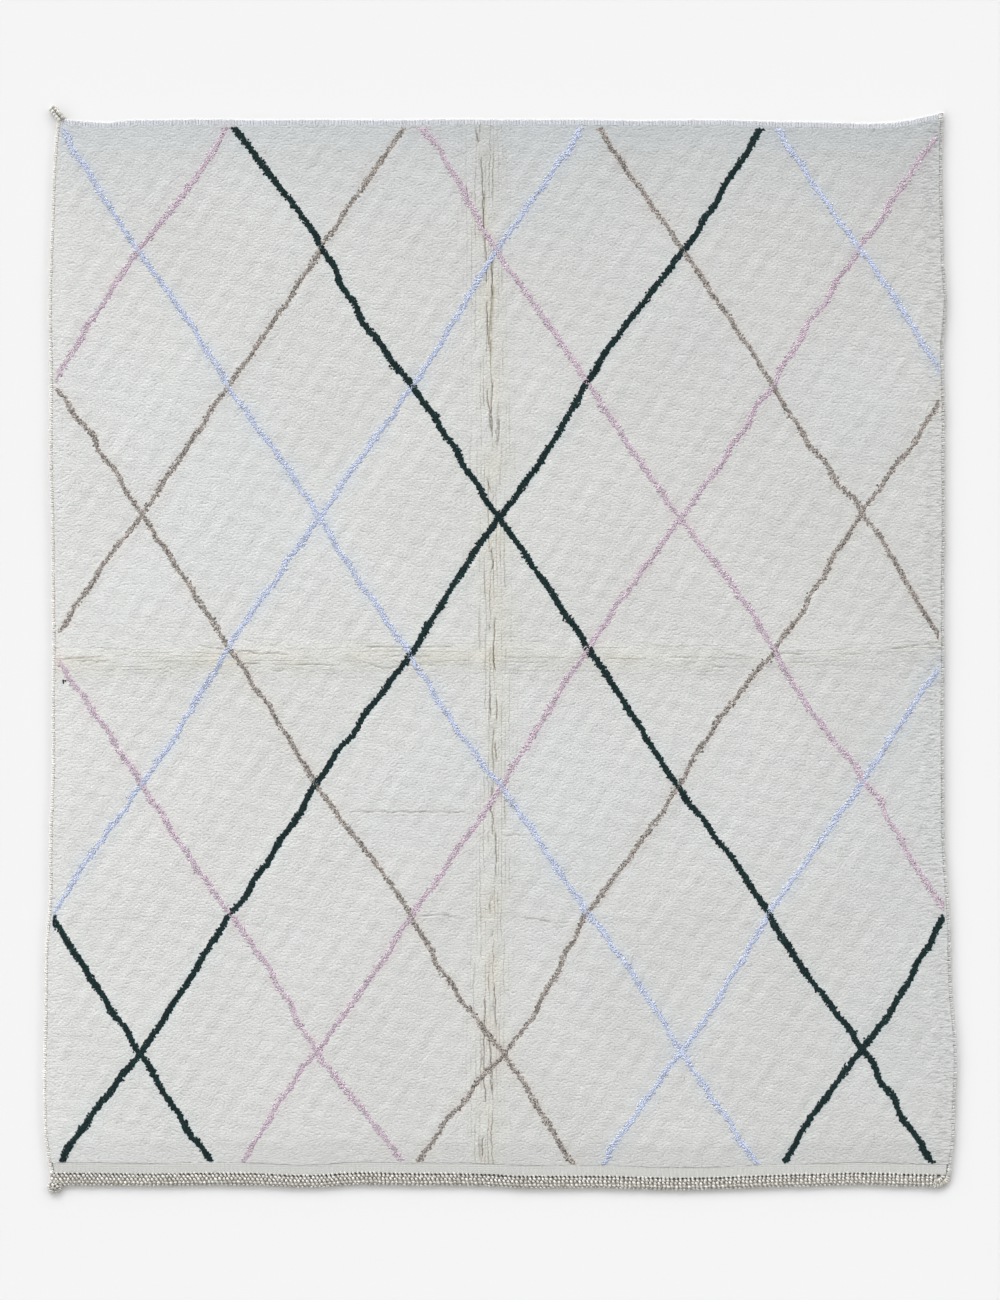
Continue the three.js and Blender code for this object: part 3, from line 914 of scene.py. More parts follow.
for i, (begin, end) in enumerate(zip(ends[:-1], ends[1:])):
    tucked = (max(begin - 1, 0), min(end + 1, ends[-1]))
    part = (slice(None), slice(tucked[0], tucked[1] + 1))
    high = pile_high[part].copy()
    high[:, 0] -= TUCK if i else 0.0
    high[:, -1] -= TUCK if end < ends[-1] else 0.0
    strip = closed_cushion(f"pile_ivory_{i + 1}", pile_x[part], pile_y[part], high, PILE_UNDERSIDE)
    rim = rim_order(*pile_x[part].shape)
    for name, values in pile_values.items():
        kind = "FLOAT_COLOR" if values.ndim == 3 else "FLOAT"
        flat = values[part].reshape(-1, *values.shape[2:])
        set_values(strip.data, name, np.concatenate([flat, flat[rim]]), kind)
    strip.data.materials.append(ivory_wool)
    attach(strip, "root")

# The dyed knots: along the lines of the pattern the wool is very dark green, grey brown, pink or
# pale blue, knotted tuft beside tuft, and stands a little prouder than the ivory round it.

# Each yarn: how far its line reaches to either side and how ragged it is, how many tufts stand on
# a step of it and how far they are raised, its colour, and how much its tufts differ in tone.
YARNS = {
    "dark_green": {"reach": 0.0052, "ragged": 0.0024, "tufts": 7, "raised": 0.0002,
                   "colour": (0.010, 0.026, 0.027, 1.0), "spread": 0.8},
    "brown": {"reach": 0.0042, "ragged": 0.0024, "tufts": 3, "raised": 0.0001,
              "colour": (0.31, 0.28, 0.258, 1.0), "spread": 1.2},
    "pink": {"reach": 0.0048, "ragged": 0.0026, "tufts": 3, "raised": 0.0002,
             "colour": (0.535, 0.445, 0.51, 1.0), "spread": 0.4},
    "pale_blue": {"reach": 0.0047, "ragged": 0.0026, "tufts": 3, "raised": 0.0002,
                  "colour": (0.50, 0.55, 0.69, 1.0), "spread": 0.3},
}
LINE_STEP = 0.0027
LINE_END = 1.5
LINE_INSET = 0.004
FULLNESS_LENGTH = 0.07
DYED_SIZE = [0.0078, 0.0082, 0.0011]
DYED_UNEVENNESS = 0.13
DYED_TILT = 0.08
DYED_TURN = 0.8

line_x, line_y, line_yarn = [], [], []
for turn, order, seed in LINE_FAMILIES:
    number = nearest_line(pile_x, pile_y, turn, seed)[0]
    for count in range(number.min() - 1, number.max() + 2):
        yarn = order[count % len(order)]
        knotted = YARNS[yarn]
        y = np.repeat(np.arange(-LINE_END, LINE_END, LINE_STEP * squareness), knotted["tufts"])
        y = y + LINE_STEP * draw.uniform(-0.5, 0.5, y.shape)
        x = LOZENGE_WIDE * (count - 0.5) + turn * slope * y
        x = x - line_sway(x, y, seed)
        fullness = 1 + 0.25 * ripple(x, y, FULLNESS_LENGTH, seed + 2)
        aside = knotted["reach"] * fullness * draw.uniform(-1, 1, y.shape)
        aside = aside + knotted["ragged"] * draw.normal(0, 1, y.shape)
        line_x.append(x + aside * squareness)
        line_y.append(y - turn * slope * aside * squareness)
        line_yarn.append(np.full(y.shape, yarn, dtype=object))

# A few flecks of green wool that were caught in the ivory when it was knotted.
FLECKS = [(-1.211, -0.087), (-0.766, 1.431), (1.085, -1.441), (1.099, -1.444),
          (1.110, -1.440), (1.085, -1.456)]
FLECK_TUFTS = 3
FLECK_HALF = 0.002
for fleck_x, fleck_y in FLECKS:
    line_x.append(fleck_x + draw.normal(0, FLECK_HALF, FLECK_TUFTS))
    line_y.append(fleck_y + draw.normal(0, FLECK_HALF, FLECK_TUFTS))
    line_yarn.append(np.full(FLECK_TUFTS, "dark_green", dtype=object))

line_x, line_y, line_yarn = [np.concatenate(v) for v in (line_x, line_y, line_yarn)]
line_inside = np.minimum.reduce([
    line_x - left_x(line_y), right_x(line_y) - line_x,
    back_y(line_x) - line_y, line_y - front_y(line_x) - BAND_WIDTH])
kept = line_inside > LINE_INSET
line_x, line_y, line_yarn = line_x[kept], line_y[kept], line_yarn[kept]


def rounded_shape(name, spots, faces):
    """A small shape that is set many times, with soft edges all over."""
    mesh = mesh_of(name, spots, faces)
    mesh.polygons.foreach_set("use_smooth", np.ones(len(faces), dtype=bool))
    return in_scene(name, mesh)


def tuft_shape():
    """One tuft: a low uneven head that lies over to the front, with its foot in the felt."""
    foot = [(0.05, 0.52, 0.0), (-0.47, 0.03, 0.0), (-0.06, -0.45, 0.0), (0.48, -0.08, 0.0)]
    faces = [(0, 1, 4), (1, 2, 4), (2, 3, 4), (3, 0, 4), (0, 3, 2, 1)]
    tuft = rounded_shape("tuft", foot + [(0.0, -0.10, 1.0)], faces)
    # The foot is marked low in depth, so that the finish paints shade towards the root.
    set_values(tuft.data, "depth", [0.3] * len(foot) + [1.0])
    return tuft


def new_tree(name, inputs, result):
    """An empty geometry tree with its named inputs and its one result."""
    tree = bpy.data.node_groups.new(name, "GeometryNodeTree")
    for word, kind in inputs.items():
        tree.interface.new_socket(word, in_out="INPUT", socket_type=f"NodeSocket{kind}")
    tree.interface.new_socket(result, in_out="OUTPUT", socket_type="NodeSocketGeometry")
    return tree, tree.nodes.new("NodeGroupInput").outputs


def named_value(tree, name, kind="FLOAT"):
    """A value that the points carry, read by its name."""
    reader = tree_node(tree, "GeometryNodeInputNamedAttribute", {"data_type": kind}, {"Name": name})
    return reader.outputs[0]


def by_chance(tree, low, high, seed):
    """A number between low and high, of its own for each point."""
    chance = tree_node(tree, "FunctionNodeRandomValue", {"data_type": "FLOAT"}, {
        2: low, 3: high, "Seed": seed})
    return chance.outputs[1]


def multiplied(tree, first, second, added=0.0):
    """Two numbers multiplied, and a third one added."""
    made = tree_node(tree, "ShaderNodeMath", {"operation": "MULTIPLY_ADD"}, {
        0: first, 1: second, 2: added})
    return made.outputs[0]


def turned_about(tree, rotation, angle):
    """A rotation turned on by an angle about its own upright."""
    about = tree_node(tree, "FunctionNodeAxisAngleToRotation", {}, {
        "Axis": (0.0, 0.0, 1.0), "Angle": angle})
    turned = tree_node(tree, "FunctionNodeRotateRotation", {"rotation_space": "LOCAL"}, {
        0: rotation, 1: about.outputs[0]})
    return turned.outputs[0]


def ended(tree, instances, wool):
    """Ends a tree: its instances are made real and take their wool."""
    real = tree_node(tree, "GeometryNodeRealizeInstances", {}, {0: instances})
    dyed = tree_node(tree, "GeometryNodeSetMaterial", {}, {
        "Geometry": real.outputs[0], "Material": wool})
    out = tree.nodes.new("NodeGroupOutput")
    tree.links.new(dyed.outputs[0], out.inputs[0])
    return tree


def planting_tree():
    """Sets one tuft on each knot, tilted and as large as the knot says, and turned a little."""
    tree, given = new_tree("planting", {
        "Knots": "Geometry", "Tuft": "Object", "Unruliness": "Float", "Seed": "Int",
        "Wool": "Material"}, "Pile")
    upright = tree_node(tree, "FunctionNodeAlignRotationToVector", {"axis": "Z"}, {
        "Vector": named_value(tree, "tilt", "FLOAT_VECTOR")})
    chance = by_chance(tree, -1.0, 1.0, given["Seed"])
    angle = multiplied(tree, chance, given["Unruliness"], named_value(tree, "lie"))
    shape = tree_node(tree, "GeometryNodeObjectInfo", {}, {"Object": given["Tuft"]})
    planted = tree_node(tree, "GeometryNodeInstanceOnPoints", {}, {
        "Points": given["Knots"], "Instance": shape.outputs["Geometry"],
        "Rotation": turned_about(tree, upright.outputs[0], angle),
        "Scale": named_value(tree, "size", "FLOAT_VECTOR")})
    return ended(tree, planted.outputs[0], given["Wool"])


def made_real(carrier, tree, inputs, spent, name):
    """Runs a geometry tree on a carrier object and keeps the result as a plain mesh piece, without
    the values that only the tree needed."""
    modifier = carrier.modifiers.new("making", "NODES")
    modifier.node_group = tree
    for socket in tree.interface.items_tree:
        if socket.in_out == "INPUT" and socket.name in inputs:
            modifier[socket.identifier] = inputs[socket.name]
    bpy.context.view_layer.update()
    graph = bpy.context.evaluated_depsgraph_get()
    mesh = bpy.data.meshes.new_from_object(carrier.evaluated_get(graph), depsgraph=graph)
    bpy.data.objects.remove(carrier)
    mesh.name = name
    for value in spent:
        if value in mesh.attributes:
            mesh.attributes.remove(mesh.attributes[value])
    return in_scene(name, mesh)


def knot_points(chosen, raised, name):
    """The dyed knots of one colour, with how each tuft lies and how large it is."""
    x, y = line_x[chosen], line_y[chosen]
    count = len(x)
    mesh = mesh_of(name, np.stack([x, y, pile_top(x, y) + raised], axis=-1).tolist())
    tilt = np.concatenate([draw.normal(0, DYED_TILT, (count, 2)), np.ones((count, 1))], axis=1)
    size = np.array(DYED_SIZE) * (1 + draw.normal(0, DYED_UNEVENNESS, (count, 3)))
    set_values(mesh, "tilt", tilt, "FLOAT_VECTOR")
    set_values(mesh, "size", size, "FLOAT_VECTOR")
    set_values(mesh, "lie", draw.normal(0, DYED_TURN, count))
    set_values(mesh, "tone", draw.uniform(0, 1, count))
    return in_scene(name, mesh)


def chart_repeats(mesh, within):
    """Gives each repeat of a shape a square of its own on the map, laid out inside it as given."""
    count = len(mesh.vertices) // len(within)
    side = math.ceil(math.sqrt(count))
    order = np.arange(count)
    corner = np.stack([order % side, order // side], axis=-1) / side
    lay_out(mesh, (corner[:, None, :] + np.array(within)[None, :, :] / side).reshape(-1, 2))


UNRULINESS = 0.25
TUFT_CHART = [(0.5, 0.95), (0.05, 0.5), (0.5, 0.05), (0.95, 0.5), (0.5, 0.4)]
tuft = tuft_shape()
planting = planting_tree()
for i, (yarn, knotted) in enumerate(YARNS.items()):
    points = knot_points(line_yarn == yarn, knotted["raised"], f"{yarn}_knots")
    wool = wool_finish(f"{yarn}_wool", knotted["colour"], 0.0, knotted["spread"], False)
    inputs = {"Tuft": tuft, "Unruliness": UNRULINESS, "Seed": i, "Wool": wool}
    pile = made_real(points, planting, inputs, ("tilt", "size", "lie"), f"pile_{yarn}")
    chart_repeats(pile.data, TUFT_CHART)
    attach(pile, "root")
bpy.data.objects.remove(tuft)

# The selvedges: along each side the outer warps are overcast into a cord with a thick wool yarn,
# turn beside turn. The left cord has yellowed, and the right one is greyer and more uneven.
TURN_PITCH = 0.0103
CORD_HALF_WIDTH = 0.0060
CORD_HALF_HEIGHT = 0.0054
TURN_STRANDS = 2
STRAND_HALF = 0.0023
STRAND_PACKING = 0.92
STRAND_FLATNESS = 0.8
TURN_SLANT = 0.16
CORE_INSET = 0.0020
CORE_TONE = 0.5
OFF_FLOOR = 0.0003
WELD = 1e-5
LEFT_CORD = {"light": (0.73, 0.715, 0.685, 1.0), "dark": (0.65, 0.635, 0.60, 1.0)}
RIGHT_CORD = {"light": (0.69, 0.69, 0.675, 1.0), "dark": (0.54, 0.535, 0.515, 1.0)}
# The cores are darker than the yarn worked over them: painted shade that shows in the gaps between
# the turns.
LEFT_SHADED_CORE = {"light": (0.60, 0.585, 0.55, 1.0), "dark": (0.53, 0.515, 0.48, 1.0)}
RIGHT_SHADED_CORE = {"light": (0.42, 0.415, 0.40, 1.0), "dark": (0.34, 0.335, 0.32, 1.0)}


# The scales of the yarn's fibres and of its blotches, and how deep the fibres lie.
SPUN_FIBRES = 420.0
SPUN_BLOTCHES = 60.0
SPUN_DEPTH = 0.0010


def spun_finish(name, light, dark, contrast=1.0):
    """Hand-spun yarn: every strand its own tone between two shades, with fine fibres over it."""
    finish = Finish(name, roughness=0.92, sheen=0.2)
    places = finish.places()
    fibres = finish.noise(places, SPUN_FIBRES, 3.0)
    blotch = finish.noise(places, SPUN_BLOTCHES, 2.0)
    share = (finish.attribute("tone") - 0.35) * contrast
    share = share + 0.5 * (blotch - 0.35) + 0.3 * (fibres - 0.5)
    finish.colour(finish.blend(share, light, dark))
    finish.bump(fibres, 0.7, SPUN_DEPTH)
    return finish.material


def turn_shape(name, profile, half_width, half_height, strands, strand_half):
    """One turn of overcasting: a few strands side by side, each a closed ring round the edge. The
    profile is the ring's outline in shares of the half width and height."""
    around = len(profile)
    spots, faces, chart = [], [], []
    for j in range(strands):
        shift = (2 * j + 1 - strands) * strand_half * STRAND_PACKING
        for a, (across, up) in enumerate(profile):
            first = len(spots)
            for k in range(4):
                out = math.cos(math.tau * k / 4) * strand_half * STRAND_FLATNESS
                x = shift + math.sin(math.tau * k / 4) * strand_half
                z = half_height + (half_height + out) * up
                spots.append((x, (half_width + out) * across, max(z, OFF_FLOOR * (1 + k))))
                chart.append((0.05 + 0.9 * a / (around - 1), (j + 0.15 + 0.7 * k / 3) / strands))
            after = j * around * 4 + ((a + 1) % around) * 4
            for k in range(4):
                m = (k + 1) % 4
                faces.append((first + k, first + m, after + m, after + k))
    return rounded_shape(name, spots, faces), chart


def stitching_tree():
    """Sets stitches along lines, a pitch apart, each slanted to its line and a little uneven."""
    sizes = ("Pitch", "Length", "Thickness", "Slant spread", "Unevenness", "Scatter")
    tree, given = new_tree("stitching", {
        "Lines": "Geometry", "Stitch": "Object", **{size: "Float" for size in sizes},
        "Seed": "Int", "Wool": "Material"}, "Stitches")

    def chance(low, high, salt):
        seed = tree_node(tree, "ShaderNodeMath", {"operation": "ADD"}, {
            0: given["Seed"], 1: float(salt)})
        return by_chance(tree, low, high, seed.outputs[0])

    curves = tree_node(tree, "GeometryNodeMeshToCurve", {}, {"Mesh": given["Lines"]})
    spaced_out = tree_node(tree, "GeometryNodeResampleCurve", {"mode": "LENGTH"}, {
        "Curve": curves.outputs[0], "Length": given["Pitch"]})
    nudge = tree_node(tree, "ShaderNodeCombineXYZ", {}, {
        "X": multiplied(tree, chance(-1.0, 1.0, 10), given["Scatter"]),
        "Y": multiplied(tree, chance(-1.0, 1.0, 11), given["Scatter"])})
    nudged = tree_node(tree, "GeometryNodeSetPosition", {}, {
        "Geometry": spaced_out.outputs[0], "Offset": nudge.outputs[0]})
    tangent = tree.nodes.new("GeometryNodeInputTangent")
    along = tree_node(tree, "FunctionNodeAlignRotationToVector", {"axis": "X", "pivot_axis": "Z"}, {
        "Vector": tangent.outputs[0]})
    slant = named_value(tree, "slant")
    angle = multiplied(tree, chance(-1.0, 1.0, 12), given["Slant spread"], slant)
    long = multiplied(tree, chance(-1.0, 1.0, 13), given["Unevenness"], 1.0)
    thick = multiplied(tree, chance(-1.0, 1.0, 14), given["Unevenness"], 1.0)
    thick = multiplied(tree, thick, given["Thickness"])
    size = tree_node(tree, "ShaderNodeCombineXYZ", {}, {
        "X": multiplied(tree, long, given["Length"]), "Y": thick, "Z": thick})
    shape = tree_node(tree, "GeometryNodeObjectInfo", {}, {"Object": given["Stitch"]})
    placed = tree_node(tree, "GeometryNodeInstanceOnPoints", {}, {
        "Points": nudged.outputs[0], "Instance": shape.outputs["Geometry"],
        "Rotation": turned_about(tree, along.outputs[0], angle), "Scale": size.outputs[0]})
    settings = {"data_type": "FLOAT", "domain": "INSTANCE"}
    toned = tree_node(tree, "GeometryNodeStoreNamedAttribute", settings, {
        "Geometry": placed.outputs[0], "Name": "tone", "Value": chance(0.0, 1.0, 15)})
    return ended(tree, toned.outputs[0], given["Wool"])


def line_carrier(lines):
    """One object with each line as a chain of edges, and the stitches' slant at its points."""
    points, links, slants = [], [], []
    for spots, slant in lines:
        first = len(points)
        points += [tuple(map(float, spot)) for spot in spots]
        links += [(i, i + 1) for i in range(first, len(points) - 1)]
        slants += list(np.broadcast_to(slant, len(spots)))
    mesh = mesh_of("lines", points, edges=links)
    set_values(mesh, "slant", slants)
    return in_scene("lines", mesh)


def stitched(name, lines, shape, chart, wool, seed, **sizes):
    """A piece made of stitches along the lines, with its own map."""
    inputs = {"Stitch": shape, "Wool": wool, "Seed": seed, "Length": 1.0, "Thickness": 1.0}
    inputs.update({word.capitalize().replace("_", " "): size for word, size in sizes.items()})
    piece = made_real(line_carrier(lines), stitching, inputs, ("slant",), name)
    chart_repeats(piece.data, chart)
    return piece


def core_of(node, name, inset, finish):
    """The core that an edge is worked over: the CAD solid merged to one skin and drawn in. Its
    wool is darker than the yarn over it, as painted shade in the gaps between the stitches.
    """
    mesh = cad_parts[node].data.copy()
    mesh.materials.clear()
    shell = bmesh.new()
    shell.from_mesh(mesh)
    bmesh.ops.remove_doubles(shell, verts=shell.verts, dist=WELD)
    shell.normal_update()
    moves = [(v, v.normal.copy()) for v in shell.verts]
    for v, normal in moves:
        low = v.co.z < ON_FLOOR
        v.co -= normal * inset
        v.co.z = OFF_FLOOR if low else max(v.co.z, 2 * OFF_FLOOR)
    shell.to_mesh(mesh)
    shell.free()
    for chart in list(mesh.uv_layers):
        mesh.uv_layers.remove(chart)
    mesh.name = name
    set_values(mesh, "tone", np.full(len(mesh.vertices), CORE_TONE))
    mesh.materials.append(finish)
    return in_scene(name, mesh)


def middle_line(node, along):
    """The middle of an edge node, from the sections that it is built of: along, across."""
    spots = np.unique(np.round([v.co[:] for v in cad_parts[node].data.vertices], 5), axis=0)
    places = np.unique(spots[:, along])
    ends = [spots[spots[:, along] == place][:, 1 - along] for place in places]
    kept = [i for i, across in enumerate(ends) if len(across) > 4]
    return places[kept], np.array([(ends[i].min() + ends[i].max()) / 2 for i in kept])


stitching = stitching_tree()
round_turn = [(math.cos(math.tau * a / 8), math.sin(math.tau * a / 8)) for a in range(8)]
turn, turn_chart = turn_shape("turn", round_turn, CORD_HALF_WIDTH, CORD_HALF_HEIGHT,
                              TURN_STRANDS, STRAND_HALF)

# Each cord: its side, its yarn and core, the slant of its turns and the seed of their unevenness.
CORDS = [
    ("left", LEFT_CORD, LEFT_SHADED_CORE, TURN_SLANT, 41),
    ("right", RIGHT_CORD, RIGHT_SHADED_CORE, -TURN_SLANT, 43),
]
for side, shades, inner, slant, seed in CORDS:
    core_wool = spun_finish(f"{side}_core_wool", **inner)
    place_y, place_x = middle_line(f"{side}_selvedge", 1)
    line = np.stack([place_x, place_y, np.zeros_like(place_x)], axis=-1)
    turns = stitched(f"{side}_selvedge_turns", [(line, slant)], turn, turn_chart,
                     spun_finish(f"{side}_selvedge_yarn", **shades), seed,
                     pitch=TURN_PITCH, slant_spread=0.16, unevenness=0.06, scatter=0.0007)
    core = core_of(f"{side}_selvedge", f"{side}_selvedge_core", CORE_INSET, core_wool)
    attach(turns, "root")
    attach(core, "root")
    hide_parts(f"{side}_selvedge")
bpy.data.objects.remove(turn)

# The back heading: a narrow strip without knots that closes the back end. The warp ends are
# twined in pairs, so it is finely ribbed across, of the same ivory wool.
RIB_PITCH = 0.0090
RIB_STRANDS = 2
RIB_STRAND_HALF = 0.0020
HEADING_HALF_WIDTH = 0.0106
HEADING_HALF_HEIGHT = 0.0040
HEADING_SHIFT = 0.0018
HEADING_CORE_INSET = 0.0015
FLAT_TURN = [(1, 0), (0.96, 0.55), (0.84, 0.90), (0.60, 1), (-0.60, 1), (-0.86, 0.95),
             (-0.98, 0.6), (-1, 0), (0, -1)]
HEADING_YARN = {"light": (0.645, 0.66, 0.69, 1.0), "dark": (0.595, 0.605, 0.63, 1.0)}
# The core is darker than the ribs: painted shade that shows in the gaps between them.
HEADING_SHADED_CORE = {"light": (0.54, 0.55, 0.56, 1.0), "dark": (0.48, 0.485, 0.49, 1.0)}

place_x, place_y = middle_line("back_heading", 0)
line = np.stack([place_x, place_y - HEADING_SHIFT, np.zeros_like(place_x)], axis=-1)
rib, rib_chart = turn_shape("rib", FLAT_TURN, HEADING_HALF_WIDTH, HEADING_HALF_HEIGHT,
                            RIB_STRANDS, RIB_STRAND_HALF)
ribs = stitched("back_heading_ribs", [(line, 0.0)], rib, rib_chart,
                spun_finish("heading_yarn", **HEADING_YARN), 47,
                pitch=RIB_PITCH, slant_spread=0.05, unevenness=0.04, scatter=0.0005)
heading_core = core_of("back_heading", "back_heading_core", HEADING_CORE_INSET,
                       spun_finish("heading_core_wool", **HEADING_SHADED_CORE))
for piece in (ribs, heading_core):
    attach(piece, "root")
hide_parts("back_heading")
bpy.data.objects.remove(rib)

# The front plait: the warp ends are knotted into a flat plait of undyed two-ply yarns, cream with
# greyish brown strands, in rows of slanted stitches that turn round the front edge.
PLAIT_YARN = {"light": (0.725, 0.715, 0.68, 1.0), "dark": (0.48, 0.455, 0.415, 1.0)}
# The core is darker than the stitches: painted shade that shows in the gaps between them.
PLAIT_SHADED_CORE = {"light": (0.42, 0.395, 0.35, 1.0), "dark": (0.34, 0.32, 0.28, 1.0)}
PLAIT_CORE_INSET = 0.0022
PLAIT_STATION = 0.006
PLAIT_SWING = 0.12
CORNER_WIDTH = 0.040
STRAND_SIDES = 5
STRAND_RINGS = 4
STRAND_ARCH = 0.55
STRAND_PLY = 0.16
STRAND_BLUNTNESS = 0.45

# Each row: how far across the plait it lies, how high, its slant, pitch, length and thickness.
PLAIT_ROWS = [
    (0.05, 0.0106, -0.85, 0.0116, 0.0140, 0.0080),
    (0.28, 0.0106, -0.90, 0.0116, 0.0145, 0.0080),
    (0.52, 0.0102, -0.85, 0.0116, 0.0145, 0.0080),
    (0.76, 0.0090, -0.80, 0.0116, 0.0140, 0.0078),
    (0.96, 0.0064, -0.50, 0.0118, 0.0120, 0.0068),
]


def strand_shape(name):
    """One short two-ply strand, a unit long and thick, arched so that its ends dive under."""
    spots = [(-0.5, 0.0, -STRAND_ARCH)]
    chart = [(0.5, 0.05)]
    for k in range(1, STRAND_RINGS):
        share = k / STRAND_RINGS
        swell = math.sin(math.pi * share) ** STRAND_BLUNTNESS
        rise = STRAND_ARCH * (1 - (2 * share - 1) ** 2) - STRAND_ARCH
        for i in range(STRAND_SIDES):
            angle = math.tau * i / STRAND_SIDES
            radius = 0.5 * swell * (1 + STRAND_PLY * math.cos(2 * angle - 5 * share))
            spots.append((share - 0.5, radius * math.cos(angle), rise + radius * math.sin(angle)))
            chart.append((0.1 + 0.8 * i / (STRAND_SIDES - 1), 0.05 + 0.9 * share))
    spots.append((0.5, 0.0, -STRAND_ARCH))
    chart.append((0.5, 0.95))
    faces = []
    last = len(spots) - 1
    for i in range(STRAND_SIDES):
        j = (i + 1) % STRAND_SIDES
        faces.append((0, 1 + j, 1 + i))
        for k in range(STRAND_RINGS - 2):
            a, b = 1 + k * STRAND_SIDES, 1 + (k + 1) * STRAND_SIDES
            faces.append((a + i, a + j, b + j, b + i))
        faces.append((last - STRAND_SIDES + i, last - STRAND_SIDES + j, last))
    return rounded_shape(name, spots, faces), chart


def joined(name, pieces):
    """Several pieces of one make as a single piece."""
    with bpy.context.temp_override(active_object=pieces[0], selected_editable_objects=pieces):
        bpy.ops.object.join()
    pieces[0].name = name
    pieces[0].data.name = name
    return pieces[0]


foot = np.array([v.co[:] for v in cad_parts["front_plait"].data.vertices])
foot = np.unique(np.round(foot[foot[:, 2] < ON_FLOOR][:, :2], 5), axis=0)
plait_x = np.unique(foot[:, 0])
plait_x = np.array([x for x in plait_x if (foot[:, 0] == x).sum() > 1])
plait_in = np.array([foot[foot[:, 0] == x][:, 1].max() for x in plait_x])
plait_out = np.array([foot[foot[:, 0] == x][:, 1].min() for x in plait_x])

strand, strand_chart = strand_shape("strand")
plait_yarn = spun_finish("plait_yarn", contrast=1.2, **PLAIT_YARN)
rows_made = []
corner_start = plait_x[-1] - CORNER_WIDTH
for i, (across, up, slant, pitch, long, thick) in enumerate(PLAIT_ROWS):
    begin = plait_x[0] + PLAIT_STATION + pitch / 2 * (i % 2)
    station = np.arange(begin, corner_start, PLAIT_STATION)
    inner_y = np.interp(station, plait_x, plait_in)
    outer_y = np.interp(station, plait_x, plait_out)
    y = inner_y * (1 - across) + outer_y * across
    line = np.stack([station, y, np.full_like(station, up)], axis=-1)
    swings = slant + PLAIT_SWING * np.sin(station * 31.0 + 2 * i)
    rows_made.append(stitched(f"plait_row_{i}", [(line, swings)], strand, strand_chart,
                              plait_yarn, 53 + i, pitch=pitch, length=long, thickness=thick,
                              slant_spread=0.20, unevenness=0.18, scatter=0.0012))
plait = joined("front_plait_stitches", rows_made)
plait_core = core_of("front_plait", "front_plait_core", PLAIT_CORE_INSET,
                     spun_finish("plait_core_wool", **PLAIT_SHADED_CORE))
for piece in (plait, plait_core):
    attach(piece, "root")
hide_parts("front_plait")

# The front right corner: the plait ends in ivory yarn that is wrapped round the corner, its turns
# fanning out from the end of the selvedge.
CORNER_YARN = {"light": (0.72, 0.71, 0.66, 1.0), "dark": (0.50, 0.485, 0.43, 1.0)}
FAN_SHIFT = 0.004
FAN_SLANT = 1.45
FAN_SPAN = (-math.pi / 2 - 0.2, 0.25)
FAN_POINTS = 24
FAN_WIDENING = 1.02

# Each fan of turns: its reach as a share of the corner, how high it lies, and its seed.
FANS = [(0.45, 0.0095, 61), (0.80, 0.0075, 67)]

corner_in = float(np.interp(corner_start, plait_x, plait_in))
corner_out = float(np.interp(corner_start, plait_x, plait_out))
fans = []
for reach, up, seed in FANS:
    turn_at = np.linspace(*FAN_SPAN, FAN_POINTS)
    fan_x = (plait_x[-1] - corner_start) * reach * np.cos(turn_at) * FAN_WIDENING
    fan_x = corner_start + fan_x
    fan_y = corner_in - FAN_SHIFT + (corner_in - corner_out) * reach * np.sin(turn_at)
    line = np.stack([fan_x, fan_y, np.full_like(fan_x, up)], axis=-1)
    fans.append(stitched(f"corner_fan_{seed}", [(line, FAN_SLANT)], strand, strand_chart,
                         spun_finish(f"corner_yarn_{seed}", **CORNER_YARN), seed,
                         pitch=0.0058, length=0.021, thickness=0.0072,
                         slant_spread=0.2, unevenness=0.12, scatter=0.0008))
corner = joined("front_right_corner_wraps", fans)
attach(corner, "root")

# The back left tail: the last warps of that corner, plaited to a short tail that lies out over the
# floor, its two rows of strands slanting together.
TAIL_YARN = {"light": (0.70, 0.69, 0.64, 1.0), "dark": (0.42, 0.40, 0.35, 1.0)}
TAIL_ROOT_INSIDE = (0.012, 0.001)
TAIL_TIP_INSIDE = (0.008, 0.004)
TAIL_POINTS = 12
TAIL_ROW_OFF = 0.0068
TAIL_NARROWING = 0.30
TAIL_HEIGHT = 0.0095
TAIL_DROP = 0.003
TAIL_SLANT = 0.62
TAIL_CORE_INSET = 0.0030

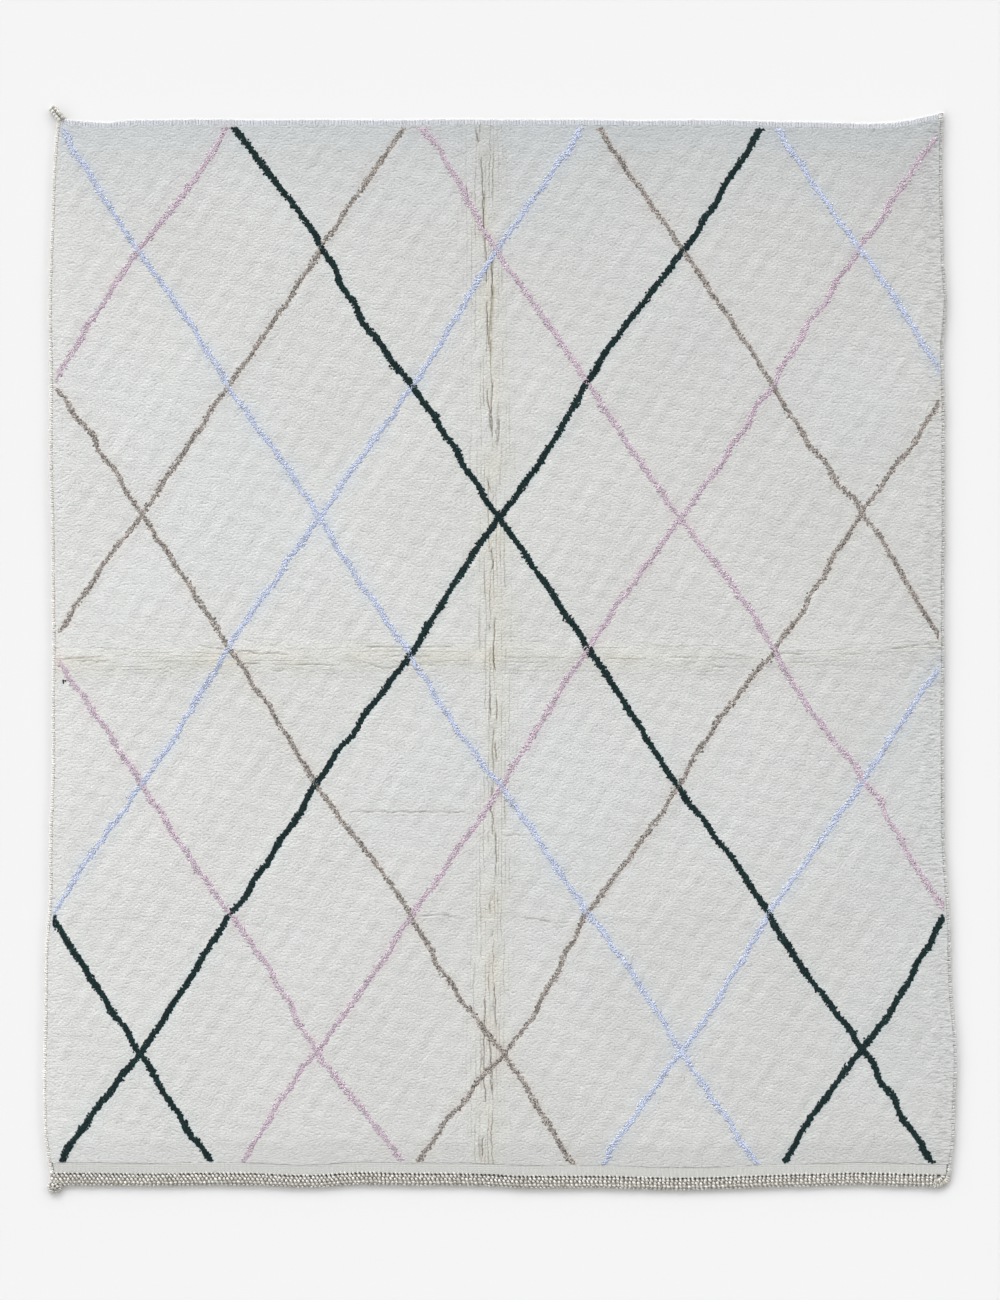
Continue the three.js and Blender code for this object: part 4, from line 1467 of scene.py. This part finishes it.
tail_low, tail_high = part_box("back_left_tail")
tail_root = (tail_high[0] - TAIL_ROOT_INSIDE[0], tail_low[1] + TAIL_ROOT_INSIDE[1])
tail_tip = (tail_low[0] + TAIL_TIP_INSIDE[0], tail_high[1] - TAIL_TIP_INSIDE[1])
tail_share = np.linspace(0, 1, TAIL_POINTS)
tail_wide, tail_deep = (tail_tip[i] - tail_root[i] for i in (0, 1))
tail_long = math.hypot(tail_wide, tail_deep)
tail_x = tail_root[0] + tail_wide * tail_share
tail_y = tail_root[1] + tail_deep * tail_share
tail_z = TAIL_HEIGHT - TAIL_DROP * tail_share
side_x = -tail_deep / tail_long
side_y = tail_wide / tail_long
tail_yarn = spun_finish("tail_yarn", contrast=1.3, **TAIL_YARN)
tail_rows = []
for side in (-1, 1):
    off = side * TAIL_ROW_OFF * (1 - TAIL_NARROWING * tail_share)
    line = np.stack([tail_x + off * side_x, tail_y + off * side_y, tail_z], axis=-1)
    tail_rows.append(stitched(f"tail_row_{side}", [(line, -TAIL_SLANT * side)],
                              strand, strand_chart, tail_yarn, 71 + side,
                              pitch=0.0080, length=0.0180, thickness=0.0124,
                              slant_spread=0.1, unevenness=0.08, scatter=0.0004))
tail = joined("back_left_tail_strands", tail_rows)
# The tail and knob cores take the right cord's dark core wool: painted shade between the strands.
tail_core = core_of("back_left_tail", "back_left_tail_core", TAIL_CORE_INSET, core_wool)
for piece in (tail, tail_core):
    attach(piece, "root")
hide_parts("back_left_tail")

# The front left tail: the plait's end, turned back and bound down into a round knob, its strands
# fanning out all round.
KNOB_MIDDLE = 0.0205
KNOB_WIDENING = 1.08
KNOB_SLANT = 1.05
KNOB_POINTS = 30

# Each ring of strands: its radius, how high it lies, its pitch, the strands' length, and its seed.
KNOB_RINGS = [(0.0150, 0.0080, 0.0068, 0.015, 81), (0.0060, 0.0125, 0.0070, 0.012, 83)]

knob_low, knob_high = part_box("front_left_tail")
knob_x = (knob_low[0] + knob_high[0]) / 2
knob_y = knob_low[1] + KNOB_MIDDLE
knob_parts = []
for reach, up, pitch, long, seed in KNOB_RINGS:
    turn_at = np.linspace(0, math.tau, KNOB_POINTS)
    ring_x = knob_x + reach * KNOB_WIDENING * np.cos(turn_at)
    ring_y = knob_y + reach * np.sin(turn_at)
    line = np.stack([ring_x, ring_y, np.full_like(turn_at, up)], axis=-1)
    knob_parts.append(stitched(f"knob_{seed}", [(line, KNOB_SLANT)], strand, strand_chart,
                               tail_yarn, seed, pitch=pitch, length=long, thickness=0.0070,
                               slant_spread=0.15, unevenness=0.10, scatter=0.0005))
knob = joined("front_left_tail_strands", knob_parts)
knob_core = core_of("front_left_tail", "front_left_tail_core", TAIL_CORE_INSET, core_wool)
for piece in (knob, knob_core):
    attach(piece, "root")
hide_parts("front_left_tail")
bpy.data.objects.remove(strand)

low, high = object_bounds()
